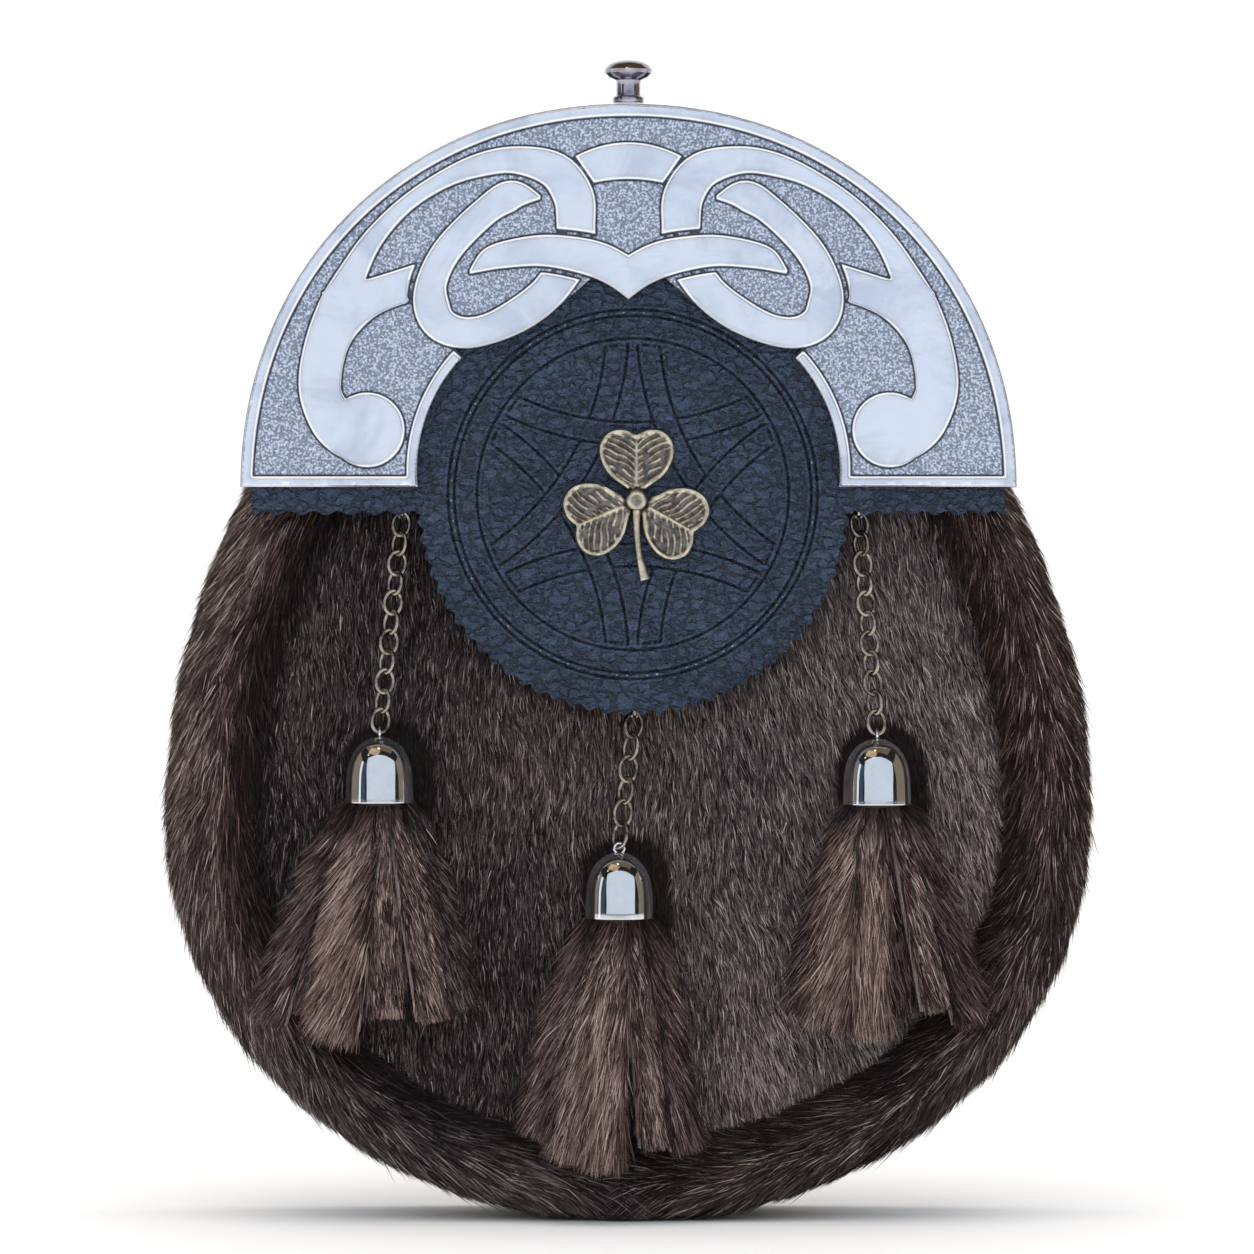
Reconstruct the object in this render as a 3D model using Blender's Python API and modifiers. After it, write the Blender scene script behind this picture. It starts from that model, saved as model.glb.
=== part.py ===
"""A dress sporran: a fur pouch with a leather flap, a cast half-round mount and three tassels.

The front looks along -Y, +X is to the viewer's right, +Z is up. The origin is the middle of the
flattened fur that the pouch stands on. Each solid is made in millimetres, and finish() turns it
to metres. Pieces that lie on each other keep a gap of 0.3 mm.
"""
import math

import bmesh
import bpy
from mathutils import Matrix, Vector

MM = 0.001
GAP = 0.3
FLAT = math.radians(0.1)

# Egg-shaped silhouette of the fur, seen from the front
FUR_HALF_WIDTH = 97.7
FUR_WIDEST_Z = 84.2
FUR_DROP = 86.2
FUR_RISE = 126.0
GUSSET_TOP_Z = 188.0

# Layers from front to back (Y)
CANTLE_FACE_Y = -31.1
CANTLE_BACK_Y = -29.5
FLAP_FRONT_Y = -29.2
FLAP_BACK_Y = -27.0
PANEL_EDGE_Y = -19.2
PANEL_WALL = 3.0
PANEL_CROWN = 3.4
PANEL_INSET = 18.6
PANEL_TURNS = (6, 17, 30, 44, 60, 76, 92, 106, 119, 131, 143, 154)
BACK_INNER_Y = 19.8
BACK_OUTER_Y = 22.0
BACK_INSET = 6.0
BACK_ARCH_RADIUS = 70.5
BACK_ARCH_SPAN = (6.0, 73.0)

# Locks of the long fur: how many, how far they stand out, and how they slant
GUSSET_STATIONS = 46
LOCK_OUT = 0.8
LOCK_IN = -0.7
LOCK_SLANT = 4.4

# Loops for the strap, on the back
LOOP_INNER_X = 31.0
LOOP_OUTER_X = 53.0
LOOP_RISE = 6.0
LOOP_HEIGHTS = (133.0, 142.0, 147.0, 176.0, 181.0, 190.0)

# Cantle: a half-round cast mount with raised bands
ARCH_Z = 152.7
CANTLE_HALF_WIDTH = 80.6
CANTLE_RISE = 80.2
ARCH_POWER = 2.09
CANTLE_RIM = 2.6
ARCH_STEPS = 28
FOOT_Z = 153.4
LEG_RIM = 2.2
LEG_CENTRE = (9.4, 156.7)
LEG_RADIUS = 34.5
LEG_TOP_ANGLE = 42.9
BAND_HEIGHT = 0.9
BAND_ROOT = 0.5
RETURN_DEPTH = 5.0
RETURN_WALL = 1.5

# Leather flap
FLAP_RADIUS = CANTLE_RISE - RETURN_WALL - GAP
TONGUE_CENTRE = (1.0, 151.0)
TONGUE_RADIUS = 44.6
TONGUE_PITCH = 3.7
TONGUE_TOOTH = 0.6
STRIP_EDGE_Z = 148.0
STRIP_WAVES = 7
STRIP_WAVE = 0.45
BRIDGE_HALF_WIDTH = 28.0
BRIDGE_START_Z = 205.0
BRIDGE_TOP_Z = 223.0
BRIDGE_BEND = 7.0
BRIDGE_BACK_BEND = 3.0
TAB_END_Z = 186.0
LEATHER = 2.1
STUD_CENTRE = (1.0, 118.0)
STUD_RADIUS = 5.5

# Chains, bells and tassels
WIRE = 0.8
LINK_WIDTH = 3.7
LINK_BITE = 0.06
EYE_RADIUS = 1.5
EYE_WIRE = 0.8
RING_SIDES = 10
BELL_RADIUS = 7.2
BELL_HEIGHT = 13.8
BELL_WALL = 0.8
BELL_LOOP_RADIUS = 1.05
BELL_LOOP_WIRE = 0.6
BELL_LOOP_RISE = 0.75
BELL_STEPS = 10
HEAD_RADIUS = 0.9 * (BELL_RADIUS - BELL_WALL) - GAP
HEAD_ABOVE = 5.0
HEAD_BELOW = 2.4
STRIP_SPREAD = 5.0
STRIP_SETBACK = 1.4
STRIP_HALF_THICKNESS = 1.3

# Hangers: where each staple sits, how many links it carries, and where its bell's mouth is
HANGERS = {
    "left": {"eye": (-47.2, -24.75, 148.6), "links": 11, "bell": (-51.6, -30.6, 87.8)},
    "centre": {"eye": (1.3, -24.75, 107.0), "links": 6, "bell": (-1.9, -30.8, 63.8)},
    "right": {"eye": (48.0, -24.75, 148.6), "links": 11, "bell": (51.6, -30.6, 87.4)},
}

# Tassel strips: end point (x, z), width at the end, and how far in front of the back row they lie
STRIPS = {
    "left": (
        # end_x, end_z, width, forward
        (-74.5, 42.0, 7.0, 0.0),
        (-65.0, 44.0, 8.5, 1.0),
        (-58.6, 38.5, 9.0, 3.0),
        (-51.0, 41.5, 7.0, 1.8),
        (-41.0, 42.5, 7.0, 2.2),
        (-34.8, 44.0, 6.5, 0.4),
    ),
    "centre": (
        (-17.8, 18.0, 8.0, 0.4),
        (-11.6, 13.5, 7.5, 1.8),
        (-4.8, 11.5, 8.0, 3.0),
        (4.4, 15.5, 6.5, 2.2),
        (11.0, 14.5, 6.5, 0.4),
    ),
    "right": (
        (35.2, 43.0, 6.5, 0.4),
        (42.4, 41.0, 8.0, 2.2),
        (49.4, 39.0, 8.0, 3.0),
        (57.0, 44.0, 7.0, 0.2),
        (63.4, 44.5, 7.0, 2.0),
        (70.6, 41.0, 7.0, 0.6),
    ),
}

# Knotwork of the left half. Each band is a ribbon: centre x, centre z, width
OUTER_BAND = (
    (-10.8, 203.5, 8.0),
    (-10.9, 207.5, 8.1),
    (-11.4, 213.7, 8.5),
    (-15.4, 219.1, 7.7),
    (-23.3, 221.2, 5.8),
    (-30.7, 220.2, 5.0),
    (-38.3, 217.2, 3.8),
    (-46.2, 212.0, 3.5),
    (-52.7, 205.2, 4.3),
    (-56.9, 198.3, 5.8),
    (-60.7, 190.3, 7.7),
    (-63.1, 181.6, 8.9),
    (-64.1, 173.7, 8.7),
    (-61.6, 167.3, 9.3),
    (-58.9, 163.8, 8.3),
    (-55.3, 162.1, 7.6),
)
OUTER_LOBE = {"centre": (-54.2, 165.2), "radius": 7.8}
OUTER_PRONG = (
    (-58.2, 191.4, 7.6),
    (-51.8, 193.5, 7.1),
    (-42.2, 196.4, 7.4),
)
OUTER_BEND = (
    (-46.2, 193.7, 4.0),
    (-53.5, 190.5, 4.0),
    (-59.0, 184.8, 4.0),
    (-61.2, 178.9, 4.0),
    (-61.7, 173.2, 4.0),
)
INNER_LOOP = (
    (-18.2, 213.4, 0.8),
    (-23.9, 213.9, 6.3),
    (-29.6, 210.6, 6.0),
    (-37.1, 203.1, 6.1),
    (-40.7, 196.3, 6.4),
    (-40.9, 191.1, 7.5),
    (-39.0, 187.2, 7.2),
    (-34.6, 185.4, 6.6),
    (-29.0, 186.2, 6.4),
    (-22.5, 189.3, 7.2),
    (-16.9, 193.6, 7.4),
    (-13.2, 198.6, 7.8),
)
CROSS_BAND = (
    # x, lower edge z, upper edge z
    (0.0, 192.3, 201.5),
    (4.2, 195.3, 203.7),
    (9.6, 197.5, 205.1),
    (17.8, 199.1, 205.7),
    (25.9, 198.7, 204.4),
    (30.4, 198.0, 202.4),
    (33.0, 197.5, 198.4),
)
BAND_GAP = 1.2
KEYSTONE = {"top": (11.1, 222.0, 224.9), "bottom": (7.2, 216.4, 217.2)}

# Shamrock badge: half of one leaf, along its midrib and across it, from the boss to the notch
BADGE_CENTRE = (1.7, 150.6)
BADGE_FIELD = 0.8
BADGE_RIM = 1.5
BADGE_BOSS = 2.4
LEAF_EDGE = (
    # along, across
    (0.4, 0.5),
    (4.6, 5.2),
    (8.2, 7.5),
    (11.3, 7.8),
    (13.6, 6.7),
    (14.9, 4.4),
    (14.8, 2.4),
)
LEAF_NOTCH = 13.6
LEAF_ANGLES = (90.0, 203.0, -29.0)
STEM = (
    # x, z and width, from the badge's centre
    (0.0, -1.0, 1.5),
    (0.1, -6.0, 1.2),
    (0.6, -11.5, 1.2),
    (1.9, -16.4, 1.9),
)

# Turned finial: radius and height, from the top down
KNOB_STEPS = 12
KNOB_PROFILE = (
    (0.0, 8.9),
    (2.8, 8.6),
    (4.5, 7.9),
    (5.0, 6.9),
    (4.3, 5.6),
    (2.5, 4.8),
    (2.5, 1.6),
    (3.3, 1.2),
    (3.3, 0.0),
    (0.0, 0.0),
)

# Wall of a bell, from the top down; the inside is the same curve drawn in
BELL_PROFILE = (
    # share of the radius, share of the height
    (0.0, 1.0),
    (0.3, 0.97),
    (0.62, 0.86),
    (0.84, 0.68),
    (0.95, 0.45),
    (0.98, 0.15),
    (1.0, 0.0),
)
BELL_CROWN = 1.2

# Section of the gusset: how far inside the outline, Y, and how much the locks stand out there
GUSSET_WALL = (
    # inset, y, lock
    (14.0, 19.5, 0.0),
    (6.0, 19.5, 0.0),
    (2.2, 18.2, 0.5),
    (0.5, 13.5, 0.9),
    (0.0, 3.0, 1.0),
    (0.0, -9.0, 1.0),
    (0.5, -17.0, 1.0),
    (2.0, -21.3, 0.9),
    (6.0, -24.8, 0.8),
    (11.0, -25.5, 0.8),
    (15.5, -23.4, 0.7),
    (18.2, -19.6, 0.3),
    (18.2, -16.3, 0.0),
    (11.0, -11.0, 0.0),
    (8.5, 2.0, 0.0),
)
GUSSET_CREST = 9

# One strip of a tassel, down its length
STRIP_SECTIONS = (
    # share of the drop, share of the way out, share of the width
    (0.00, 0.00, 0.40),
    (0.12, 0.15, 0.80),
    (0.50, 0.57, 1.00),
    (0.95, 0.97, 0.92),
    (1.00, 1.00, 0.55),
)


# --- scene, materials and small tools ---

def clear_scene():
    for item in list(bpy.data.objects):
        bpy.data.objects.remove(item, do_unlink=True)


def new_collection(name):
    group = bpy.data.collections.new(name)
    bpy.context.scene.collection.children.link(group)
    return group


def material(name, colour, metallic, roughness):
    made = bpy.data.materials.new(name)
    made.use_nodes = True
    shader = made.node_tree.nodes["Principled BSDF"]
    shader.inputs["Base Color"].default_value = (*colour, 1.0)
    shader.inputs["Metallic"].default_value = metallic
    shader.inputs["Roughness"].default_value = roughness
    return made


def to_object(name, mesh, group):
    made = bpy.data.objects.new(name, mesh)
    group.objects.link(made)
    return made


def finish(item, surface, angle=35.0):
    """Turn a solid from millimetres to metres and give it its material and shading."""
    item.data.transform(Matrix.Scale(MM, 4))
    item.data.materials.clear()
    item.data.materials.append(surface)
    item.data.shade_smooth()
    item.data.set_sharp_from_angle(angle=math.radians(angle))
    return item


def baked(item):
    """Put the evaluated mesh, its modifiers applied, on the object."""
    bpy.context.view_layer.update()
    graph = bpy.context.evaluated_depsgraph_get()
    mesh = bpy.data.meshes.new_from_object(item.evaluated_get(graph))
    item.modifiers.clear()
    item.data = mesh
    return item


def weld(mesh, distance=1e-5, flat=0.0):
    """Join what meets; where flat is given, redraw stretches flatter than that angle with few faces."""
    work = bmesh.new()
    work.from_mesh(mesh)
    bmesh.ops.remove_doubles(work, verts=work.verts, dist=distance)
    if flat:
        bmesh.ops.dissolve_limit(work, angle_limit=flat, verts=work.verts, edges=work.edges)
        bmesh.ops.triangulate(work, faces=work.faces)
    bmesh.ops.recalc_face_normals(work, faces=work.faces)
    work.to_mesh(mesh)
    work.free()


def fuse(target, pieces, flat=0.0):
    """Boolean union of closed solids into one body.

    The manifold solver keeps flat bands that cross each other closed, where the exact one does not.
    """
    for piece in pieces:
        joining = target.modifiers.new("join", "BOOLEAN")
        joining.operation = "UNION"
        joining.solver = "MANIFOLD"
        joining.object = piece
        baked(target)
        bpy.data.objects.remove(piece, do_unlink=True)
    weld(target.data, flat=flat)
    return target


# --- plane geometry, in X and Z ---

def arc(centre, radius, start, end, steps):
    """Points on a circle from one angle to another, in degrees, both ends included."""
    points = []
    for i in range(steps + 1):
        turn = math.radians(start + (end - start) * i / steps)
        points.append((centre[0] + radius * math.cos(turn), centre[1] + radius * math.sin(turn)))
    return points


def mirrored(points):
    return [(-x, z) for x, z in reversed(points)]


def smooth_rows(rows, per_span):
    """Catmull-Rom curve through rows of numbers, with per_span steps from row to row."""
    padded = [rows[0], *rows, rows[-1]]
    result = []
    for i in range(1, len(padded) - 2):
        before, here, there, after = padded[i - 1:i + 3]
        for j in range(per_span):
            t = j / per_span
            result.append(tuple(
                0.5 * (2 * b + (c - a) * t + (2 * a - 5 * b + 4 * c - d) * t ** 2
                       + (3 * b - a - 3 * c + d) * t ** 3)
                for a, b, c, d in zip(before, here, there, after)
            ))
    result.append(tuple(rows[-1]))
    return result


def ribbon_edges(rows, per_span=2):
    """Left and right edge of a band that follows rows of x, z and width."""
    line = smooth_rows(rows, per_span)
    left, right = [], []
    for i, (x, z, width) in enumerate(line):
        ahead = line[min(i + 1, len(line) - 1)]
        behind = line[max(i - 1, 0)]
        along = Vector((ahead[0] - behind[0], ahead[1] - behind[1])).normalized()
        left.append((x - along.y * width / 2, z + along.x * width / 2))
        right.append((x + along.y * width / 2, z - along.x * width / 2))
    return left, right


def ribbon(rows, per_span=2):
    left, right = ribbon_edges(rows, per_span)
    return left + right[::-1]


def plate(name, loops, front, back, group):
    """A flat solid with the outline of the loops, in X and Z, from Y front to Y back."""
    flat = bpy.data.curves.new(name, "CURVE")
    flat.dimensions = "2D"
    flat.fill_mode = "BOTH"
    flat.extrude = (back - front) / 2
    for loop in loops:
        spline = flat.splines.new("POLY")
        spline.points.add(len(loop) - 1)
        spline.use_cyclic_u = True
        for point, (x, z) in zip(spline.points, loop):
            point.co = (x, z, 0.0, 1.0)
    guide = to_object(name + "_outline", flat, group)
    bpy.context.view_layer.update()
    graph = bpy.context.evaluated_depsgraph_get()
    mesh = bpy.data.meshes.new_from_object(guide.evaluated_get(graph))
    bpy.data.objects.remove(guide, do_unlink=True)
    stand_up = Matrix.Rotation(math.pi / 2, 4, "X")
    mesh.transform(Matrix.Translation((0, (front + back) / 2, 0)) @ stand_up)
    weld(mesh, flat=FLAT)
    return to_object(name, mesh, group)


def loft(name, rings, group, closed=False):
    """A solid through rings of points in millimetres, capped at both ends unless it closes on itself."""
    work = bmesh.new()
    rows = [[work.verts.new(point) for point in ring] for ring in rings]
    count = len(rings[0])
    pairs = list(zip(rows, rows[1:]))
    if closed:
        pairs.append((rows[-1], rows[0]))
    for near, far in pairs:
        for i in range(count):
            j = (i + 1) % count
            work.faces.new((near[i], near[j], far[j], far[i]))
    if not closed:
        work.faces.new(rows[0][::-1])
        work.faces.new(rows[-1])
    work.normal_update()
    bmesh.ops.triangulate(work, faces=work.faces)
    bmesh.ops.recalc_face_normals(work, faces=work.faces)
    mesh = bpy.data.meshes.new(name)
    work.to_mesh(mesh)
    work.free()
    return to_object(name, mesh, group)


def bent_strip(name, path, thickness, x_low, x_high, group):
    """A leather strip of constant thickness that follows a path in Y and Z, X_low to X_high wide."""
    rows = [(y, z, thickness) for y, z in path]
    outline = []
    for side in ribbon_edges(rows, 1):
        outline = side if not outline else outline + side[::-1]
    rings = [[(x, y, z) for y, z in outline] for x in (x_low, x_high)]
    return loft(name, rings, group)


def turned(name, profile, centre, steps, group):
    """A solid of revolution about a vertical axis, by a Screw modifier on its profile."""
    mesh = bpy.data.meshes.new(name)
    points = [(radius, 0.0, height) for radius, height in profile]
    mesh.from_pydata(points, [(i, i + 1) for i in range(len(points) - 1)], [])
    item = to_object(name, mesh, group)
    screw = item.modifiers.new("turn", "SCREW")
    screw.axis = "Z"
    screw.angle = 2 * math.pi
    screw.steps = steps
    screw.render_steps = steps
    screw.use_merge_vertices = True
    screw.merge_threshold = 0.0001
    baked(item)
    item.data.transform(Matrix.Translation(centre))
    weld(item.data)
    return item


def wire_ring(name, path, radius, sides, group):
    """A closed wire along a flat or bent ring of points in millimetres."""
    centre = sum((Vector(p) for p in path), Vector()) / len(path)
    normal = Vector()
    for here, there in zip(path, path[1:]):
        normal += (Vector(here) - centre).cross(Vector(there) - centre)
    normal.normalize()
    rings = []
    for i, point in enumerate(path):
        along = (Vector(path[(i + 1) % len(path)]) - Vector(path[i - 1])).normalized()
        outward = along.cross(normal)
        rings.append([
            Vector(point) + radius * (
                outward * math.cos(2 * math.pi * (k + 0.5) / sides)
                + normal * math.sin(2 * math.pi * (k + 0.5) / sides))
            for k in range(sides)
        ])
    return loft(name, rings, group, closed=True)


# --- pouch ---

def egg_point(turn, inset=0.0):
    """Point on the fur's outline and its outward normal; turn is 0 at the bottom, in degrees."""
    angle = math.radians(turn)
    height = FUR_DROP if abs(turn) < 90 else FUR_RISE
    x = FUR_HALF_WIDTH * math.sin(angle)
    z = FUR_WIDEST_Z - height * math.cos(angle)
    normal = Vector((math.sin(angle) / FUR_HALF_WIDTH, -math.cos(angle) / height)).normalized()
    return x - normal.x * inset, z - normal.y * inset, normal


def egg_half_width(z, inset):
    """Half the width, at a height, of the egg drawn in by the inset."""
    low, high = 0.0, 180.0
    for _ in range(30):
        middle = (low + high) / 2
        if egg_point(middle, inset)[1] < z:
            low = middle
        else:
            high = middle
    return max(egg_point(low, inset)[0], 0.0)


def make_gusset(group, surface):
    """Side wall and rim of long-haired hide, with the hair's locks as ridges that run down it."""
    end_turn = 180 - math.degrees(math.acos((GUSSET_TOP_Z - FUR_WIDEST_Z) / FUR_RISE))
    rings = []
    for i in range(GUSSET_STATIONS + 1):
        share = 2 * i / GUSSET_STATIONS - 1
        turn = end_turn * share
        wave = LOCK_OUT if i % 2 else LOCK_IN
        fade = min(1.0, 8 * (1 - abs(share)))
        ring = []
        for k, (inset, y, lock) in enumerate(GUSSET_WALL):
            crest = max(0.0, 1 - abs(k - GUSSET_CREST) / GUSSET_CREST)
            slant = LOCK_SLANT * crest * fade * math.sin(math.radians(turn)) if lock else 0.0
            x, z, normal = egg_point(turn - slant, inset)
            out = lock * wave * fade
            aside, ahead = (1.0, 0.0) if abs(y) < 17 else (0.6, math.copysign(0.8, y))
            x += normal.x * aside * out
            z += normal.y * aside * out
            ring.append((x, y + ahead * out, max(0.0, z)))
        rings.append(ring)
    return finish(loft("pouch_gusset", rings, group), surface, 60)


def panel_face_y(x, z):
    """Y of the front panel's outer face, which is crowned between its edges."""
    half = max(egg_half_width(z, PANEL_INSET), 0.001)
    reach = (FUR_DROP if z < FUR_WIDEST_Z else FUR_RISE) - PANEL_INSET
    rise = max(0.0, 1 - ((z - FUR_WIDEST_Z) / reach) ** 2)
    return PANEL_EDGE_Y - PANEL_CROWN * (1 - min(1.0, (x / half) ** 2)) * rise ** 0.7


def make_front(group, surface):
    """Crowned front panel inside the rim, up to the mouth's straight edge."""
    shares = [math.sin(math.pi / 2 * (i / 4 - 1)) for i in range(9)]
    rings = []
    for turn in PANEL_TURNS:
        half, z, _ = egg_point(turn, PANEL_INSET)
        outer = [(half * s, panel_face_y(half * s, z), z) for s in shares]
        inner = [(x, y + PANEL_WALL, z) for x, y, z in outer[::-2]]
        rings.append(outer + inner)
    return finish(loft("pouch_front", rings, group), surface, 60)


def make_back(group, surface):
    """Flat leather back, a little inside the fur, with a half-round top cut straight under the flap."""
    top_z = BRIDGE_TOP_Z - LEATHER - BRIDGE_BACK_BEND / 2 - GAP
    right = []
    for i in range(15):
        x, z, _ = egg_point(90 * i / 14, BACK_INSET)
        right.append((x, z))
    for z in (100.0, 118.0, 136.0):
        right.append((egg_half_width(z, BACK_INSET), z))
    for x, z in arc((0.0, ARCH_Z), BACK_ARCH_RADIUS, *BACK_ARCH_SPAN, 14):
        right.append((x, min(z, top_z)))
    outline = right + mirrored(right[1:])
    return finish(plate("pouch_back", [outline], BACK_INNER_Y, BACK_OUTER_Y, group), surface)


def make_belt_loops(group, surface):
    """Two leather loops on the back for the strap that carries the sporran."""
    foot = BACK_OUTER_Y + GAP + LEATHER / 2
    top = foot + LOOP_RISE
    path = list(zip((foot, foot, top, top, foot, foot), LOOP_HEIGHTS))
    spans = {"left": (-LOOP_OUTER_X, -LOOP_INNER_X), "right": (LOOP_INNER_X, LOOP_OUTER_X)}
    for side, (low, high) in spans.items():
        loop = bent_strip("belt_loop_" + side, path, LEATHER, low, high, group)
        finish(loop, surface, 30)


# --- flap ---

def pinked_edge():
    """Lower edge of the flap from the left strip's outer end, round the tongue, to the right one's."""
    cx, cz = TONGUE_CENTRE
    left = []
    width = (cx - TONGUE_RADIUS + 1.0 + FLAP_RADIUS) / STRIP_WAVES
    for i in range(STRIP_WAVES):
        left.append((-FLAP_RADIUS + width * i, STRIP_EDGE_Z - STRIP_WAVE))
        left.append((-FLAP_RADIUS + width * (i + 0.5), STRIP_EDGE_Z + STRIP_WAVE))
    start = 180 + math.degrees(math.asin((cz - STRIP_EDGE_Z) / TONGUE_RADIUS))
    sweep = 540 - 2 * start
    teeth = round(math.radians(sweep) * TONGUE_RADIUS / TONGUE_PITCH)
    tongue = []
    for i in range(2 * teeth + 1):
        radius = TONGUE_RADIUS + (TONGUE_TOOTH if i % 2 else -TONGUE_TOOTH)
        turn = math.radians(start + sweep * i / (2 * teeth))
        tongue.append((cx + radius * math.cos(turn), cz + radius * math.sin(turn)))
    right_start = cx + TONGUE_RADIUS - 1.0
    width = (FLAP_RADIUS - right_start) / STRIP_WAVES
    right = []
    for i in range(STRIP_WAVES):
        right.append((right_start + width * (i + 0.5), STRIP_EDGE_Z + STRIP_WAVE))
        right.append((right_start + width * (i + 1), STRIP_EDGE_Z - STRIP_WAVE))
    return left + tongue + right


def make_flap(group, surface):
    """One piece of leather: front, pinked lower edge, bend over the mouth and tab on the back."""
    outline = pinked_edge() + arc((0.0, ARCH_Z), FLAP_RADIUS, 0, 180, ARCH_STEPS)
    flap = plate("flap", [outline], FLAP_FRONT_Y, FLAP_BACK_Y, group)
    front_y = (FLAP_FRONT_Y + FLAP_BACK_Y) / 2
    back_y = BACK_OUTER_Y + GAP + LEATHER / 2
    top_z = BRIDGE_TOP_Z - LEATHER / 2
    path = [(front_y, BRIDGE_START_Z)]
    path += arc((front_y + BRIDGE_BEND, top_z - BRIDGE_BEND), BRIDGE_BEND, 180, 90, 5)
    path += arc((back_y - BRIDGE_BACK_BEND, top_z - BRIDGE_BACK_BEND), BRIDGE_BACK_BEND, 90, 0, 4)
    path.append((back_y, TAB_END_Z))
    bridge = bent_strip("bridge", path, LEATHER, -BRIDGE_HALF_WIDTH, BRIDGE_HALF_WIDTH, group)
    return finish(fuse(flap, [bridge]), surface, 30)


def make_stud(group, surface):
    """Press stud between the tongue and the front panel."""
    back = panel_face_y(*STUD_CENTRE) - GAP
    front = FLAP_BACK_Y + GAP
    stud = plate("flap_stud", [arc(STUD_CENTRE, STUD_RADIUS, 0, 337.5, 15)], front, back, group)
    return finish(stud, surface)


# --- cantle ---

def leg_edge(radius, low_z, steps=8):
    """Edge of the right leg, from that height up."""
    start = math.degrees(math.asin((low_z - LEG_CENTRE[1]) / radius))
    return arc(LEG_CENTRE, radius, start, LEG_TOP_ANGLE, steps)


def arch(inset, low_z):
    """Full-shouldered arch, that far inside the cantle's edge, from that height on the right to the left."""
    half, rise = CANTLE_HALF_WIDTH - inset, CANTLE_RISE - inset
    low = math.asin(((low_z - ARCH_Z) / rise) ** (ARCH_POWER / 2))
    points = []
    for i in range(ARCH_STEPS + 1):
        turn = low + (math.pi - 2 * low) * i / ARCH_STEPS
        across = abs(math.cos(turn)) ** (2 / ARCH_POWER)
        up = math.sin(turn) ** (2 / ARCH_POWER)
        points.append((math.copysign(half * across, math.cos(turn)), ARCH_Z + rise * up))
    return points


def cantle_rim():
    """The raised rim: round the arch, along the feet and up the inside of both legs."""
    foot_top = FOOT_Z + LEG_RIM
    outer = arch(0.0, FOOT_Z)
    inner = arch(CANTLE_RIM, foot_top)[::-1]
    leg = leg_edge(LEG_RADIUS, FOOT_Z)
    leg_inner = leg_edge(LEG_RADIUS + LEG_RIM, foot_top)
    return leg[::-1] + outer + mirrored(leg[::-1]) + mirrored(leg_inner) + inner + leg_inner


def cross_edges(spread=0.0):
    """Lower and upper edge of the band across the knot, from left to right."""
    half = smooth_rows(CROSS_BAND, 2)
    lower = [(x, low - spread) for x, low, high in half]
    upper = [(x, high + spread) for x, low, high in half]
    return mirrored(lower)[:-1] + lower, mirrored(upper)[:-1] + upper


def widened(rows, spread):
    return [(x, z, width + 2 * spread) for x, z, width in rows]


def cut(target, cutter):
    """Take a closed solid out of another."""
    taking = target.modifiers.new("cut", "BOOLEAN")
    taking.operation = "DIFFERENCE"
    taking.solver = "MANIFOLD"
    taking.object = cutter
    baked(target)
    bpy.data.objects.remove(cutter, do_unlink=True)
    weld(target.data)
    return target


def plate_outline():
    """The cantle's plate: arch, feet, legs, and below the knot the lower edges of its bands."""
    leg = leg_edge(LEG_RADIUS + 0.05, FOOT_Z)
    edges = ribbon_edges(INNER_LOOP)
    turn = len(edges[0]) * 2 // 3
    under_loop = min(edges, key=lambda edge: edge[turn - 1][1])[turn - 1:-2]
    under_cross = [point for point in cross_edges()[0] if -8 < point[0] < 0]
    left = mirrored(leg)[::-1] + [(x, z + 0.3) for x, z in under_loop + under_cross]
    middle = (0.0, CROSS_BAND[0][1] + 0.4)
    return arch(0.05, FOOT_Z) + left + [middle] + mirrored(left)


def raised(name, outline, group, lift=0.0):
    """A band that stands out of the cantle's plate."""
    front = CANTLE_FACE_Y - BAND_HEIGHT + lift
    return plate(name, [outline], front, CANTLE_FACE_Y + BAND_ROOT - lift, group)


def moat(outline, group):
    """Cutter that ends a band beside the one that crosses over it."""
    return plate("moat", [outline], CANTLE_FACE_Y - 2 * BAND_HEIGHT, CANTLE_FACE_Y + 2 * BAND_ROOT, group)


def make_bands(group, flip):
    """Outer band with its lobe, its prong and the bend below the prong, and the inner loop, of one half."""
    def placed(outline):
        return mirrored(outline) if flip else outline

    lower, upper = cross_edges(BAND_GAP)
    crossing = lower + upper[::-1]
    outer = cut(raised("outer_band", placed(ribbon(OUTER_BAND)), group), moat(crossing, group))
    loop = cut(raised("inner_loop", placed(ribbon(INNER_LOOP)), group), moat(crossing, group))
    lobe_edge = arc(OUTER_LOBE["centre"], OUTER_LOBE["radius"], 0, 337.5, 15)
    lobe = raised("lobe", placed(lobe_edge), group, 0.02)
    prong = raised("prong", placed(ribbon(OUTER_PRONG)), group, 0.04)
    bend = raised("bend", placed(ribbon(OUTER_BEND)), group, 0.06)
    beside_loop = ribbon(widened(INNER_LOOP[3:7], BAND_GAP))
    cut(prong, moat(placed(beside_loop), group))
    return [outer, loop, lobe, prong, bend]


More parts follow.
